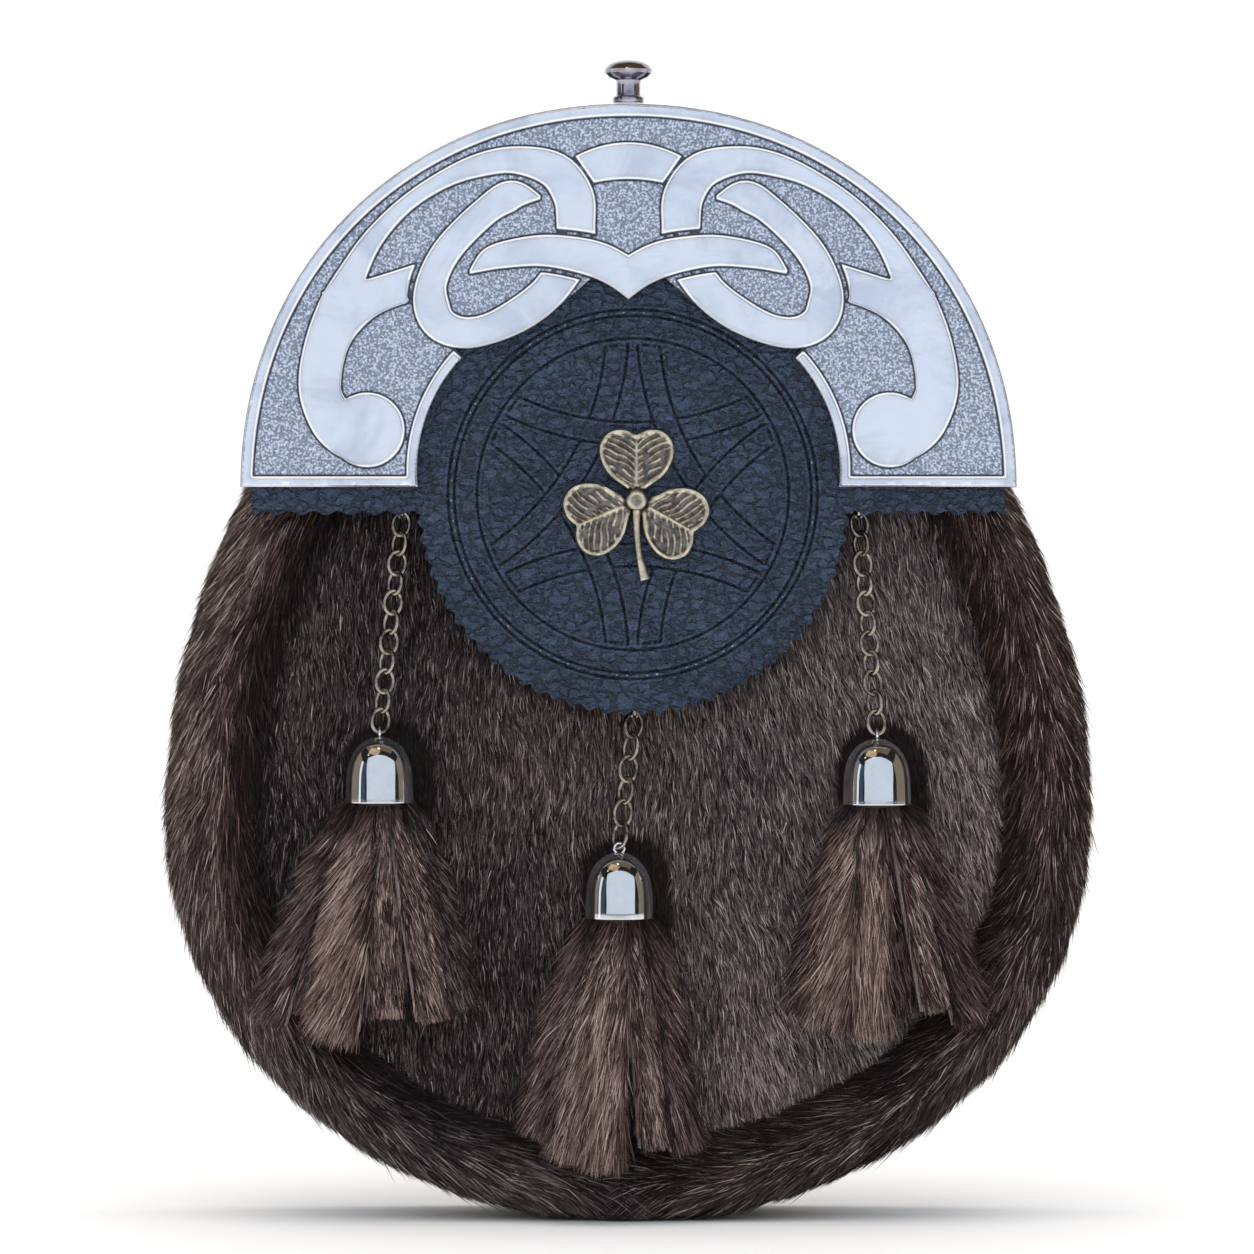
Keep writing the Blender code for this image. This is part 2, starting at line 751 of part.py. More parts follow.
def make_cantle(group, surface):
    """Cast mount: plate, return wall behind its arch, raised rim and interlaced bands, in one body."""
    cantle = plate("cantle", [plate_outline()], CANTLE_FACE_Y, CANTLE_BACK_Y, group)
    wall = arch(0.1, FOOT_Z) + arch(RETURN_WALL, FOOT_Z)[::-1]
    pieces = [plate("wall", [wall], CANTLE_BACK_Y - 0.5, CANTLE_BACK_Y + RETURN_DEPTH, group)]
    pieces.append(raised("rim", cantle_rim(), group))
    pieces += make_bands(group, False) + make_bands(group, True)
    lower, upper = cross_edges()
    pieces.append(raised("cross", lower + upper[::-1], group))
    pieces.append(raised("keystone", keystone(), group))
    return finish(fuse(cantle, pieces, FLAT), surface, 30)


def bow(half_width, end_z, middle_z, steps):
    """Points of a shallow arc between two ends at the same height, from right to left."""
    points = []
    for i in range(steps + 1):
        share = 1 - 2 * i / steps
        points.append((half_width * share, middle_z + (end_z - middle_z) * share * share))
    return points


def keystone():
    top = bow(*KEYSTONE["top"], 6)
    bottom = bow(*KEYSTONE["bottom"], 4)
    return top + bottom[::-1]


def make_knob(group, surface):
    """Turned finial on the top of the cantle's arch."""
    centre = (0.0, CANTLE_BACK_Y + RETURN_DEPTH / 2 - 1.0, ARCH_Z + CANTLE_RISE + GAP)
    return finish(turned("cantle_knob", KNOB_PROFILE, centre, KNOB_STEPS, group), surface, 50)


# --- badge ---

def leaf_outline(angle, scale=1.0, pivot=8.6):
    """Heart-shaped leaf whose point is at the boss, drawn in about its middle by scale."""
    half = list(LEAF_EDGE)
    whole = half + [(LEAF_NOTCH, 0.0)] + [(u, -v) for u, v in half[::-1]]
    turn = math.radians(angle)
    points = []
    for u, v in whole:
        u, v = pivot + (u - pivot) * scale, v * scale
        points.append((
            BADGE_CENTRE[0] + u * math.cos(turn) - v * math.sin(turn),
            BADGE_CENTRE[1] + u * math.sin(turn) + v * math.cos(turn),
        ))
    return points


def make_badge(group, surface):
    """Cast shamrock with raised rims, midribs, boss and stem, flat on the tongue."""
    back = FLAP_FRONT_Y - GAP
    field = back - BADGE_FIELD
    rim = back - BADGE_RIM
    badge = plate("shamrock_badge", [arc(BADGE_CENTRE, 1.9, 0, 330, 11)], back - BADGE_BOSS, back, group)
    pieces = []
    for i, angle in enumerate(LEAF_ANGLES):
        lift = 0.02 * i
        turn = math.radians(angle)
        pieces.append(plate("leaf", [leaf_outline(angle)], field + lift, back - 0.01 - lift, group))
        border = [leaf_outline(angle, 0.985), leaf_outline(angle, 0.83)]
        pieces.append(plate("border", border, rim - lift, field + 0.3, group))
        tip = (
            BADGE_CENTRE[0] + 13.2 * math.cos(turn),
            BADGE_CENTRE[1] + 13.2 * math.sin(turn),
        )
        rib = [(*BADGE_CENTRE, 0.7), (*tip, 0.9)]
        pieces.append(plate("rib", [ribbon(rib, 1)], rim + 0.2 + lift, field + 0.4 + lift, group))
    stem = [(BADGE_CENTRE[0] + x, BADGE_CENTRE[1] + z, width) for x, z, width in STEM]
    pieces.append(plate("stem", [ribbon(stem, 2)], rim + 0.1, back - 0.1, group))
    return finish(fuse(badge, pieces, FLAT), surface, 30)


# --- hangers ---

def frame_along(direction, roll):
    """Unit vector across a direction, turned about it by roll, in degrees."""
    across = direction.cross(Vector((0, 1, 0))).normalized()
    other = direction.cross(across)
    turn = math.radians(roll)
    return across * math.cos(turn) + other * math.sin(turn)


def link_path(centre, direction, across, inner_length):
    """Centre line of one link: two half circles joined by straight sides."""
    bend = (LINK_WIDTH - WIRE) / 2
    straight = inner_length + WIRE - 2 * bend
    half = RING_SIDES // 2
    points = []
    for sign in (1, -1):
        for i in range(half):
            turn = math.pi * i / (half - 1)
            side = across * (bend * math.cos(turn) * sign)
            along = direction * (sign * (straight / 2 + bend * math.sin(turn)))
            points.append(tuple(centre + side + along))
    return points


def ring_path(centre, radius, facing_front):
    """Points of a round upright ring, seen round from the front or from the side."""
    points = []
    for i in range(RING_SIDES):
        turn = 2 * math.pi * i / RING_SIDES
        aside = radius * math.cos(turn)
        x, y = (aside, 0.0) if facing_front else (0.0, aside)
        points.append((centre[0] + x, centre[1] + y, centre[2] + radius * math.sin(turn)))
    return points


def bell_loop_centre(hanger):
    x, y, z = hanger["bell"]
    return Vector((x, y, z + BELL_HEIGHT + BELL_LOOP_RISE))


def make_eye(side, hanger, group, surface):
    """Staple on the front panel: a ring that stands across, with a foot."""
    ex, ey, ez = hanger["eye"]
    ring = ring_path(hanger["eye"], EYE_RADIUS, False)
    eye = wire_ring("chain_eye_" + side, ring, EYE_WIRE / 2, 5, group)
    panel = panel_face_y(ex, ez) - GAP
    foot = plate("foot", [arc((ex, ez), 1.8, 0, 315, 7)], ey + EYE_RADIUS, panel, group)
    return finish(fuse(eye, [foot]), surface, 50)


def make_chain(side, hanger, group, surface):
    """Row of interlocked links, each turned a quarter against the last, fused where they touch."""
    eye = Vector(hanger["eye"])
    loop = bell_loop_centre(hanger)
    direction = (loop - eye).normalized()
    top = eye - Vector((0, 0, EYE_RADIUS)) - direction * (EYE_WIRE / 2 + GAP)
    bottom = loop + Vector((0, 0, BELL_LOOP_RADIUS)) + direction * (BELL_LOOP_WIRE / 2 + GAP)
    pitch = (bottom - top).length / hanger["links"]
    links = []
    for i in range(hanger["links"]):
        centre = top + (bottom - top).normalized() * (pitch * (i + 0.5))
        path = link_path(centre, direction, frame_along(direction, 90 * (i % 2)), pitch - LINK_BITE)
        links.append(wire_ring("chain_" + side if i == 0 else "link", path, WIRE / 2, 5, group))
    return finish(fuse(links[0], links[1:]), surface, 50)


def make_bell(side, hanger, group, surface):
    """Hollow turned bell, open below, with a small loop on its top."""
    outside = [(BELL_RADIUS * r, BELL_HEIGHT * h) for r, h in BELL_PROFILE]
    inner_radius = BELL_RADIUS - BELL_WALL
    inner_height = BELL_HEIGHT - BELL_CROWN
    inside = [(inner_radius * r, inner_height * h) for r, h in BELL_PROFILE[::-1]]
    bell = turned("bell_" + side, outside + inside, hanger["bell"], BELL_STEPS, group)
    last_link_faces_front = hanger["links"] % 2 == 1
    ring = ring_path(bell_loop_centre(hanger), BELL_LOOP_RADIUS, not last_link_faces_front)
    loop = wire_ring("loop", ring, BELL_LOOP_WIRE / 2, 5, group)
    return finish(fuse(bell, [loop]), surface, 50)


def strip_rings(start, end, width, forward):
    """Sections of one hide strip that falls from the head and turns down towards its end."""
    drop = start.z - end.z
    lean = math.atan2(end.x - start.x, drop)
    rings = []
    for down, out, wide in STRIP_SECTIONS:
        x = start.x + (end.x - start.x) * out
        y = start.y - forward * min(1.0, down * 4)
        z = start.z - drop * down
        half = width / 2 * wide
        thick = STRIP_HALF_THICKNESS * (0.6 + 0.4 * min(1.0, 4 * down) if down < 1 else 0.5)
        ring = []
        for u, v in ((-1, 0.7), (-0.5, -1), (0.5, -1), (1, 0.7), (0, 1)):
            across = u * half
            ring.append((x + across * math.cos(lean), y + v * thick, z + across * math.sin(lean)))
        rings.append(ring)
    return rings


def make_tassel(side, hanger, group, surface):
    """Fur tassel: strips of hide fanned out of a round head that sits inside the bell."""
    bx, by, bz = hanger["bell"]
    head = arc((bx, by), HEAD_RADIUS, 0, 330, 11)
    rings = [[(x, y, z) for x, y in head] for z in (bz + HEAD_ABOVE, bz - HEAD_BELOW)]
    tassel = loft("tassel_" + side, rings, group)
    rows = STRIPS[side]
    pieces = []
    for i, (end_x, end_z, width, forward) in enumerate(rows):
        spread = (i / (len(rows) - 1) - 0.5) * STRIP_SPREAD
        start = Vector((bx + spread, by + STRIP_SETBACK, bz - 0.5 - 0.1 * i))
        end = Vector((end_x, by + STRIP_SETBACK - forward, end_z))
        pieces.append(loft("strip", strip_rings(start, end, width, forward), group))
    return finish(fuse(tassel, pieces), surface, 60)


def main():
    clear_scene()
    sporran = new_collection("sporran")
    pewter = material("pewter", (0.62, 0.66, 0.74), 1.0, 0.25)
    leather = material("dark_leather", (0.030, 0.045, 0.075), 0.0, 0.55)
    back_leather = material("back_leather", (0.028, 0.030, 0.036), 0.0, 0.6)
    long_fur = material("long_fur", (0.085, 0.068, 0.060), 0.0, 0.8)
    short_fur = material("short_fur", (0.070, 0.060, 0.058), 0.0, 0.8)
    tassel_fur = material("tassel_fur", (0.14, 0.10, 0.08), 0.0, 0.8)
    bronze = material("bronze", (0.42, 0.36, 0.27), 1.0, 0.4)
    nickel = material("nickel", (0.45, 0.42, 0.38), 1.0, 0.15)

    make_gusset(sporran, long_fur)
    make_front(sporran, short_fur)
    make_back(sporran, back_leather)
    make_belt_loops(sporran, back_leather)
    make_flap(sporran, leather)
    make_stud(sporran, nickel)
    make_cantle(sporran, pewter)
    make_knob(sporran, pewter)
    make_badge(sporran, bronze)
    for side, hanger in HANGERS.items():
        make_eye(side, hanger, sporran, nickel)
        make_chain(side, hanger, sporran, nickel)
        make_bell(side, hanger, sporran, nickel)
        make_tassel(side, hanger, sporran, tassel_fur)


main()
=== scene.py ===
"""Looks of a dress sporran: fur pouch, tooled leather flap, cast cantle, badge, chains and tassels.

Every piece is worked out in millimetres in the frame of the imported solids, and made in metres.
"""
import math

import bmesh
import bpy
import numpy as np
from mathutils import Matrix, Vector
from mathutils.geometry import delaunay_2d_cdt


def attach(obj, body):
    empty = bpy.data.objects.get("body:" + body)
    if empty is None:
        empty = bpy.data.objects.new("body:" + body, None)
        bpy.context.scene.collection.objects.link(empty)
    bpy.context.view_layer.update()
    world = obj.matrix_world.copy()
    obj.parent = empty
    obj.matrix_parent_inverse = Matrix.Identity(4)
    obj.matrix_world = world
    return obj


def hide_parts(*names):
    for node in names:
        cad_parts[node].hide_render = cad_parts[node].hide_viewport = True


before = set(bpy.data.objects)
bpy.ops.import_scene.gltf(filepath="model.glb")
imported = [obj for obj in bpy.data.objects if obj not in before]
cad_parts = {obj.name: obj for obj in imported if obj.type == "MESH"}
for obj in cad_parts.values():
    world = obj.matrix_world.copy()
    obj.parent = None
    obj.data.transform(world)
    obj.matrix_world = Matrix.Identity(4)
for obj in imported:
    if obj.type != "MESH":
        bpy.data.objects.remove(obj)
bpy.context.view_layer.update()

MM = 0.001

# Egg-shaped outline of the fur
FUR_HALF_WIDTH = 97.7
FUR_WIDEST_Z = 84.2
FUR_DROP = 86.2
FUR_RISE = 126.0
GUSSET_TOP_Z = 188.0
PANEL_INSET = 18.6
PANEL_EDGE_Y = -19.2
PANEL_CROWN = 3.4

# Layers from front to back
CANTLE_FACE_Y = -31.1
CANTLE_BACK_Y = -29.5
KNOB_Y = -28.0
FLAP_FRONT_Y = -29.2
FLAP_BACK_Y = -27.0
BACK_INNER_Y = 19.8
BACK_OUTER_Y = 22.0

# Gap between pieces that touch, and where the straps on the back lie
GAP = 0.3
STRAP_HALF = 1.05
STRAP_BACK_Y = BACK_OUTER_Y + GAP + STRAP_HALF
MOUTH_TOP_Z = 223.0

# Cantle and flap
ARCH_Z = 152.7
CANTLE_HALF_WIDTH = 80.6
CANTLE_RISE = 80.2
ARCH_POWER = 2.09
CANTLE_RIM = 2.6
FOOT_Z = 153.4
LEG_RIM = 2.2
LEG_CENTRE = (9.4, 156.7)
LEG_RADIUS = 34.5
LEG_TOP_ANGLE = 42.9
FLAP_RADIUS = 78.2
TONGUE_CENTRE = (1.0, 151.0)
TONGUE_RADIUS = 44.6
TONGUE_PITCH = 3.7
TONGUE_TOOTH = 0.6
STRIP_EDGE_Z = 148.0
STRIP_WAVES = 7
STRIP_WAVE = 0.45

HANGERS = {
    "left": {"eye": (-47.2, -24.75, 148.6), "links": 11, "bell": (-51.6, -30.6, 87.8)},
    "centre": {"eye": (1.3, -24.75, 107.0), "links": 6, "bell": (-1.9, -30.8, 63.8)},
    "right": {"eye": (48.0, -24.75, 148.6), "links": 11, "bell": (51.6, -30.6, 87.4)},
}
BELL_RADIUS = 7.2
BELL_HEIGHT = 13.8
BELL_LIP = 0.12
BELL_LOOP_RISE = 0.75
BELL_LOOP_RADIUS = 1.05

OUTER_BAND = (
    (-10.8, 203.5, 8.0), (-10.9, 207.5, 8.1), (-11.4, 213.7, 8.5), (-15.4, 219.1, 7.7),
    (-23.3, 221.2, 5.8), (-30.7, 220.2, 5.0), (-38.3, 217.2, 3.8), (-46.2, 212.0, 3.5),
    (-52.7, 205.2, 4.3), (-56.9, 198.3, 5.8), (-60.7, 190.3, 7.7), (-63.1, 181.6, 8.9),
    (-64.1, 173.7, 8.7), (-61.6, 167.3, 9.3), (-58.9, 163.8, 8.3), (-55.3, 162.1, 7.6),
)
OUTER_LOBE = ((-54.2, 165.2), 7.8)
OUTER_PRONG = ((-62.5, 190.1, 7.6), (-51.8, 193.5, 7.1), (-42.2, 196.4, 7.4))
OUTER_BEND = (
    (-46.2, 193.7, 4.0), (-53.5, 190.5, 4.0), (-59.0, 184.8, 4.0), (-61.2, 178.9, 4.0),
    (-61.7, 173.2, 4.0),
)
INNER_LOOP = (
    (-18.2, 213.4, 0.8), (-23.9, 213.9, 6.3), (-29.6, 210.6, 6.0), (-37.1, 203.1, 6.1),
    (-40.7, 196.3, 6.4), (-40.9, 191.1, 7.5), (-39.0, 187.2, 7.2), (-34.6, 185.4, 6.6),
    (-29.0, 186.2, 6.4), (-22.5, 189.3, 7.2), (-16.9, 193.6, 7.4), (-13.2, 198.6, 7.8),
)
CROSS_BAND = (
    (0.0, 192.3, 201.5), (4.2, 195.3, 203.7), (9.6, 197.5, 205.1), (17.8, 199.1, 205.7),
    (25.9, 198.7, 204.4), (30.4, 198.0, 202.4), (33.0, 197.5, 198.4),
)
BAND_GAP = 1.2
RIM_GAP = 0.55
# How far inside a band's edge its bevel changes slope
BEVEL = (0.12, 0.36, 0.62)
KEYSTONE = ((11.1, 222.0, 224.9), (7.2, 216.4, 217.2))

# Tooling on the tongue
TOOL_CENTRE = (0.9, 151.9)
TOOL_CIRCLES = (32.4, 37.1, 38.4)
STAR_ARC = 57.8
STAR_REACH = 70.4
STAR_HALF = 2.35
STAR_END = 31.1

BADGE_CENTRE = (1.7, 150.6)
LEAF_EDGE = (
    (0.4, 0.5), (1.8, 1.5), (3.2, 3.4), (4.6, 5.3), (6.3, 6.7), (8.2, 7.6), (9.8, 7.95), (11.3, 7.9),
    (12.5, 7.5), (13.5, 6.8), (14.3, 5.9), (14.8, 4.7), (14.95, 3.4), (14.8, 2.1), (14.35, 1.0),
    (13.85, 0.0),
)
LEAF_ANGLES = (90.0, 203.0, -29.0)
# Boss of the badge: radius, height, and how far its patina is worn off
BOSS_RADIUS = 2.15
BOSS = ((0.0, 2.6, 0.35), (1.1, 2.6, 0.4), (1.4, 2.75, 1.0), (1.75, 2.7, 1.0), (2.05, 2.4, 0.8),
        (2.15, 1.9, 0.3), (2.15, 0.0, 0.0))
VEIN_PITCH = 1.45
STEM = ((0.0, -1.4, 1.5), (0.0, -5.8, 1.2), (0.55, -11.6, 1.15), (1.8, -16.5, 1.9))


# --- numbers ---

def arc(centre, radius, start, end, steps):
    turn = np.radians(np.linspace(start, end, steps + 1))
    return np.stack([centre[0] + radius * np.cos(turn), centre[1] + radius * np.sin(turn)], 1)


def mirrored(points):
    return np.asarray(points)[::-1] * (-1, 1)


def smooth_rows(rows, per_span):
    """Catmull-Rom curve through rows of numbers."""
    rows = np.asarray(rows, float)
    padded = np.vstack([rows[:1], rows, rows[-1:]])
    result = []
    for a, b, c, d in zip(padded, padded[1:], padded[2:], padded[3:]):
        for t in np.arange(per_span) / per_span:
            result.append(0.5 * (2 * b + (c - a) * t + (2 * a - 5 * b + 4 * c - d) * t ** 2
                                 + (3 * b - a - 3 * c + d) * t ** 3))
    result.append(rows[-1])
    return np.array(result)


def unit(rows):
    """Rows scaled to length 1."""
    return rows / np.maximum(np.linalg.norm(rows, axis=1, keepdims=True), 1e-9)


def sideways(line):
    """Unit normals of a line in the plane, on its left."""
    along = unit(np.gradient(line, axis=0))
    return np.stack([-along[:, 1], along[:, 0]], 1)


def run_along(line):
    """Length of a line up to each of its points."""
    return np.concatenate([[0], np.cumsum(np.linalg.norm(np.diff(line, axis=0), axis=1))])


def between(at, stations, rows):
    """Rows of numbers read off at places between the stations they belong to."""
    return np.stack([np.interp(at, stations, column) for column in np.transpose(rows)], -1)


def band_edges(rows):
    """The two edges of a band through rows of x, z and width."""
    line = smooth_rows(rows, 6)
    side = sideways(line[:, :2]) * line[:, 2:3] / 2
    return line[:, :2] + side, line[:, :2] - side


def ribbon(rows):
    """Outline of a band through rows of x, z and width."""
    left, right = band_edges(rows)
    return np.vstack([left, right[::-1]])


def lattice(i, j, seed):
    value = np.sin(i * 127.1 + j * 311.7 + seed * 74.7) * 43758.5453
    return 2 * (value - np.floor(value)) - 1


def wander(x, z, size, seed):
    """Smooth noise from -1 to 1, in patches of that size."""
    gx, gz = x / size, z / size
    ix, iz = np.floor(gx), np.floor(gz)
    fx, fz = gx - ix, gz - iz
    fx, fz = fx * fx * (3 - 2 * fx), fz * fz * (3 - 2 * fz)
    low = lattice(ix, iz, seed) * (1 - fx) + lattice(ix + 1, iz, seed) * fx
    high = lattice(ix, iz + 1, seed) * (1 - fx) + lattice(ix + 1, iz + 1, seed) * fx
    return low * (1 - fz) + high * fz


def step(low, high, value):
    t = np.clip((value - low) / (high - low), 0, 1)
    return t * t * (3 - 2 * t)


def line_distance(points, line, closed=False):
    """Distance from each point to a polyline."""
    line = np.asarray(line, float)
    ends = np.roll(line, -1, 0) if closed else line[1:]
    best = np.full(len(points), 1e9)
    for a, b in zip(line, ends):
        way = b - a
        share = np.clip(((points - a) @ way) / max(way @ way, 1e-12), 0, 1)
        gap = points - a - share[:, None] * way
        best = np.minimum(best, np.einsum("ij,ij->i", gap, gap))
    return np.sqrt(best)


def signed_distance(points, loop):
    """Distance to a closed outline, positive inside."""
    loop = np.asarray(loop, float)
    odd = np.zeros(len(points), bool)
    x, z = points.T
    for (ax, az), (bx, bz) in zip(loop, np.roll(loop, -1, 0)):
        if az != bz:
            odd ^= ((az > z) != (bz > z)) & (x < (bx - ax) * (z - az) / (bz - az) + ax)
    away = line_distance(points, loop, True)
    return np.where(odd, away, -away)


def beside(line, offsets, spacing, closed=False):
    """Points in rows along a line, at each offset from it; inward is positive on a closed one."""
    line = np.asarray(line, float)
    if closed:
        ahead = np.roll(line, -1, 0)
        if (line[:, 0] * ahead[:, 1] - line[:, 1] * ahead[:, 0]).sum() < 0:
            line = line[::-1]
        line = np.vstack([line, line[:1]])
    run = run_along(line)
    count = max(2, int(run[-1] / spacing))
    middle = between(np.linspace(0, run[-1], count, endpoint=not closed), run, line)
    side = sideways(middle)
    return np.vstack([middle + side * offset for offset in offsets])


def merged(*fields):
    """How far inside any of some shapes, without a seam where they overlap."""
    total = fields[0]
    for field in fields[1:]:
        top = np.maximum(total, field)
        near = np.clip(1 - np.abs(total - field) / 2.4, 0, 1)
        total = top + 0.6 * near ** 2 * step(0.0, 0.4, top)
    return total


def hexagons(low, high, spacing):
    xs = np.arange(low[0], high[0], spacing)
    zs = np.arange(low[1], high[1], spacing * 0.866)
    grid = np.stack(np.meshgrid(xs, zs), -1)
    grid[1::2, :, 0] += spacing / 2
    return grid.reshape(-1, 2)


def thinned(points, cell):
    """Points with no two in the same small cell, and for each given point the one that is kept."""
    _, first, same = np.unique(np.round(points / cell).astype(np.int64), axis=0,
                               return_index=True, return_inverse=True)
    return points[first], same.ravel()


def contours(field, low, high, cell, levels):
    """Lines on which a field of the plane has the given levels, as points and pairs of them."""
    grid = np.stack(np.meshgrid(np.arange(low[0], high[0], cell), np.arange(low[1], high[1], cell)), -1)
    values = field(grid.reshape(-1, 2)).reshape(grid.shape[:2])
    points, edges = [], []
    count = 0
    for level in levels:
        above = values - level + 1e-9
        numbers = []
        for axis in (1, 0):
            here = above[:, :-1] if axis else above[:-1]
            there = above[:, 1:] if axis else above[1:]
            crossed = here * there < 0
            start = (grid[:, :-1] if axis else grid[:-1])[crossed]
            share = (here / (here - there))[crossed][:, None] * cell
            points.append(start + share * ((1, 0) if axis else (0, 1)))
            number = np.full(above.shape, -1)
            number[:crossed.shape[0], :crossed.shape[1]][crossed] = count + np.arange(crossed.sum())
            numbers.append(number)
            count += crossed.sum()
        flat, tall = numbers
        four = np.stack([flat[:-1, :-1], tall[:-1, 1:], flat[1:, :-1], tall[:-1, :-1]], -1).reshape(-1, 4)
        hits = (four >= 0).sum(1)
        two = four[hits == 2]
        edges += [two[two >= 0].reshape(-1, 2), four[hits == 4][:, [0, 3]], four[hits == 4][:, [1, 2]]]
    return np.vstack(points), np.vstack(edges)


def remembered(field):
    """The same function of points, which keeps what it has worked out."""
    known = {}

    def recall(points):
        key = hash(points.tobytes())
        if key not in known:
            known[key] = field(points)
        return known[key]

    return recall


# --- meshes ---

def new_object(name, points, corners, sizes, surface, smooth=True):
    """A mesh object from points in millimetres and faces of the given sizes."""
    mesh = bpy.data.meshes.new(name)
    mesh.vertices.add(len(points))
    mesh.vertices.foreach_set("co", (np.asarray(points) * MM).astype(np.float32).ravel())
    corners = np.asarray(corners, np.int32)
    sizes = np.asarray(sizes, np.int32)
    mesh.loops.add(len(corners))
    mesh.loops.foreach_set("vertex_index", corners)
    mesh.polygons.add(len(sizes))
    mesh.polygons.foreach_set("loop_start", np.concatenate([[0], np.cumsum(sizes)[:-1]]).astype(np.int32))
    mesh.update(calc_edges=True)
    mesh.materials.append(surface)
    if smooth:
        mesh.shade_smooth()
    return linked(name, mesh)


def linked(name, data):
    """A new object of the scene with that mesh, light or camera."""
    item = bpy.data.objects.new(name, data)
    bpy.context.scene.collection.objects.link(item)
    return item


def paint(item, name, values):
    """A number for each point, or one for all of them, for the material to read."""
    layer = item.data.attributes.new(name, "FLOAT", "POINT")
    layer.data.foreach_set("value", np.full(len(item.data.vertices), values, np.float32))


def rings_object(name, rings, surface, closed=False, caps=True, angle=40.0):
    """A skin through rings of points; the rings close on each other where closed is set."""
    rings = np.asarray(rings, float)
    rows, count, _ = rings.shape
    corners = []
    sizes = []
    for i in range(rows if closed else rows - 1):
        here, there = i * count, (i + 1) % rows * count
        for k in range(count):
            j = (k + 1) % count
            corners += [here + k, here + j, there + j, there + k]
            sizes.append(4)
    if caps and not closed:
        corners += list(range(count))[::-1] + [(rows - 1) * count + k for k in range(count)]
        sizes += [count, count]
    item = new_object(name, rings.reshape(-1, 3), corners, sizes, surface)
    set_outward(item)
    item.data.set_sharp_from_angle(angle=math.radians(angle))
    return item


def set_outward(item):
    work = bmesh.new()
    work.from_mesh(item.data)
    bmesh.ops.remove_doubles(work, verts=work.verts, dist=1e-7)
    bmesh.ops.recalc_face_normals(work, faces=work.faces)
    work.to_mesh(item.data)
    work.free()


def joined(items, name):
    """One object of several, under the name."""
    bpy.ops.object.select_all(action="DESELECT")
    for item in items:
        item.select_set(True)
    bpy.context.view_layer.objects.active = items[0]
    bpy.ops.object.join()
    items[0].name = name
    items[0].data.name = name
    return items[0]


def relief(name, outline, inner, height, front, back, surface, notes=(), angle=55.0, ridges=None):
    """A closed plate whose front stands out of the plane Y = front by height(points), in millimetres.

    notes are functions of the points whose values are painted on the mesh; ridges are points and
    pairs of them that become edges.
    """
    outline = np.asarray(outline, float)
    inner, _ = thinned(inner[signed_distance(inner, outline) > 0.08], 0.14)
    flat = np.vstack([outline, inner])
    rim = [(i, (i + 1) % len(outline)) for i in range(len(outline))]
    if ridges:
        points, same = thinned(ridges[0], 0.12)
        inside = signed_distance(points, outline) > 0.10
        pairs = np.unique(np.sort(same[ridges[1]], axis=1), axis=0)
        pairs = pairs[(pairs[:, 0] != pairs[:, 1]) & inside[pairs].all(1)]
        number = np.cumsum(inside) - 1 + len(flat)
        rim += [(int(a), int(b)) for a, b in number[pairs]]
        flat = np.vstack([flat, points[inside]])
    found = delaunay_2d_cdt([Vector(p) for p in flat], rim, [], 1, 1e-6)
    flat = np.array([tuple(p) for p in found[0]])
    faces = np.array([tuple(f) for f in found[2] if len(f) == 3])
    a, b, c = (flat[faces[:, k]] for k in range(3))
    turned = (b[:, 0] - a[:, 0]) * (c[:, 1] - a[:, 1]) - (b[:, 1] - a[:, 1]) * (c[:, 0] - a[:, 0])
    faces = faces[np.abs(turned) > 1e-9]
    turned = turned[np.abs(turned) > 1e-9]
    faces[turned < 0] = faces[turned < 0][:, ::-1]
    lift = height(flat)
    count = len(flat)
    edges = {}
    for f in faces.tolist():
        for i in range(3):
            edges[(f[i], f[(i + 1) % 3])] = True
    follow = {p: q for p, q in edges if (q, p) not in edges}
    start = next(iter(follow))
    loop = [start]
    while follow[loop[-1]] != start:
        loop.append(follow[loop[-1]])
    loop = np.array(loop)
    points = np.vstack([
        np.stack([flat[:, 0], front - lift, flat[:, 1]], 1),
        np.stack([flat[loop, 0], np.full(len(loop), back), flat[loop, 1]], 1),
    ])
    behind = count + np.arange(len(loop))
    walls = np.stack([loop, behind, np.roll(behind, -1), np.roll(loop, -1)], 1)
    corners = np.concatenate([faces.ravel(), walls.ravel(), behind[::-1]])
    sizes = [3] * len(faces) + [4] * len(walls) + [len(loop)]
    item = new_object(name, points, corners, sizes, surface)
    everywhere = np.vstack([flat, flat[loop]])
    for label, note in notes:
        paint(item, label, note(everywhere))
    item.data.set_sharp_from_angle(angle=math.radians(angle))
    return item


# --- materials ---

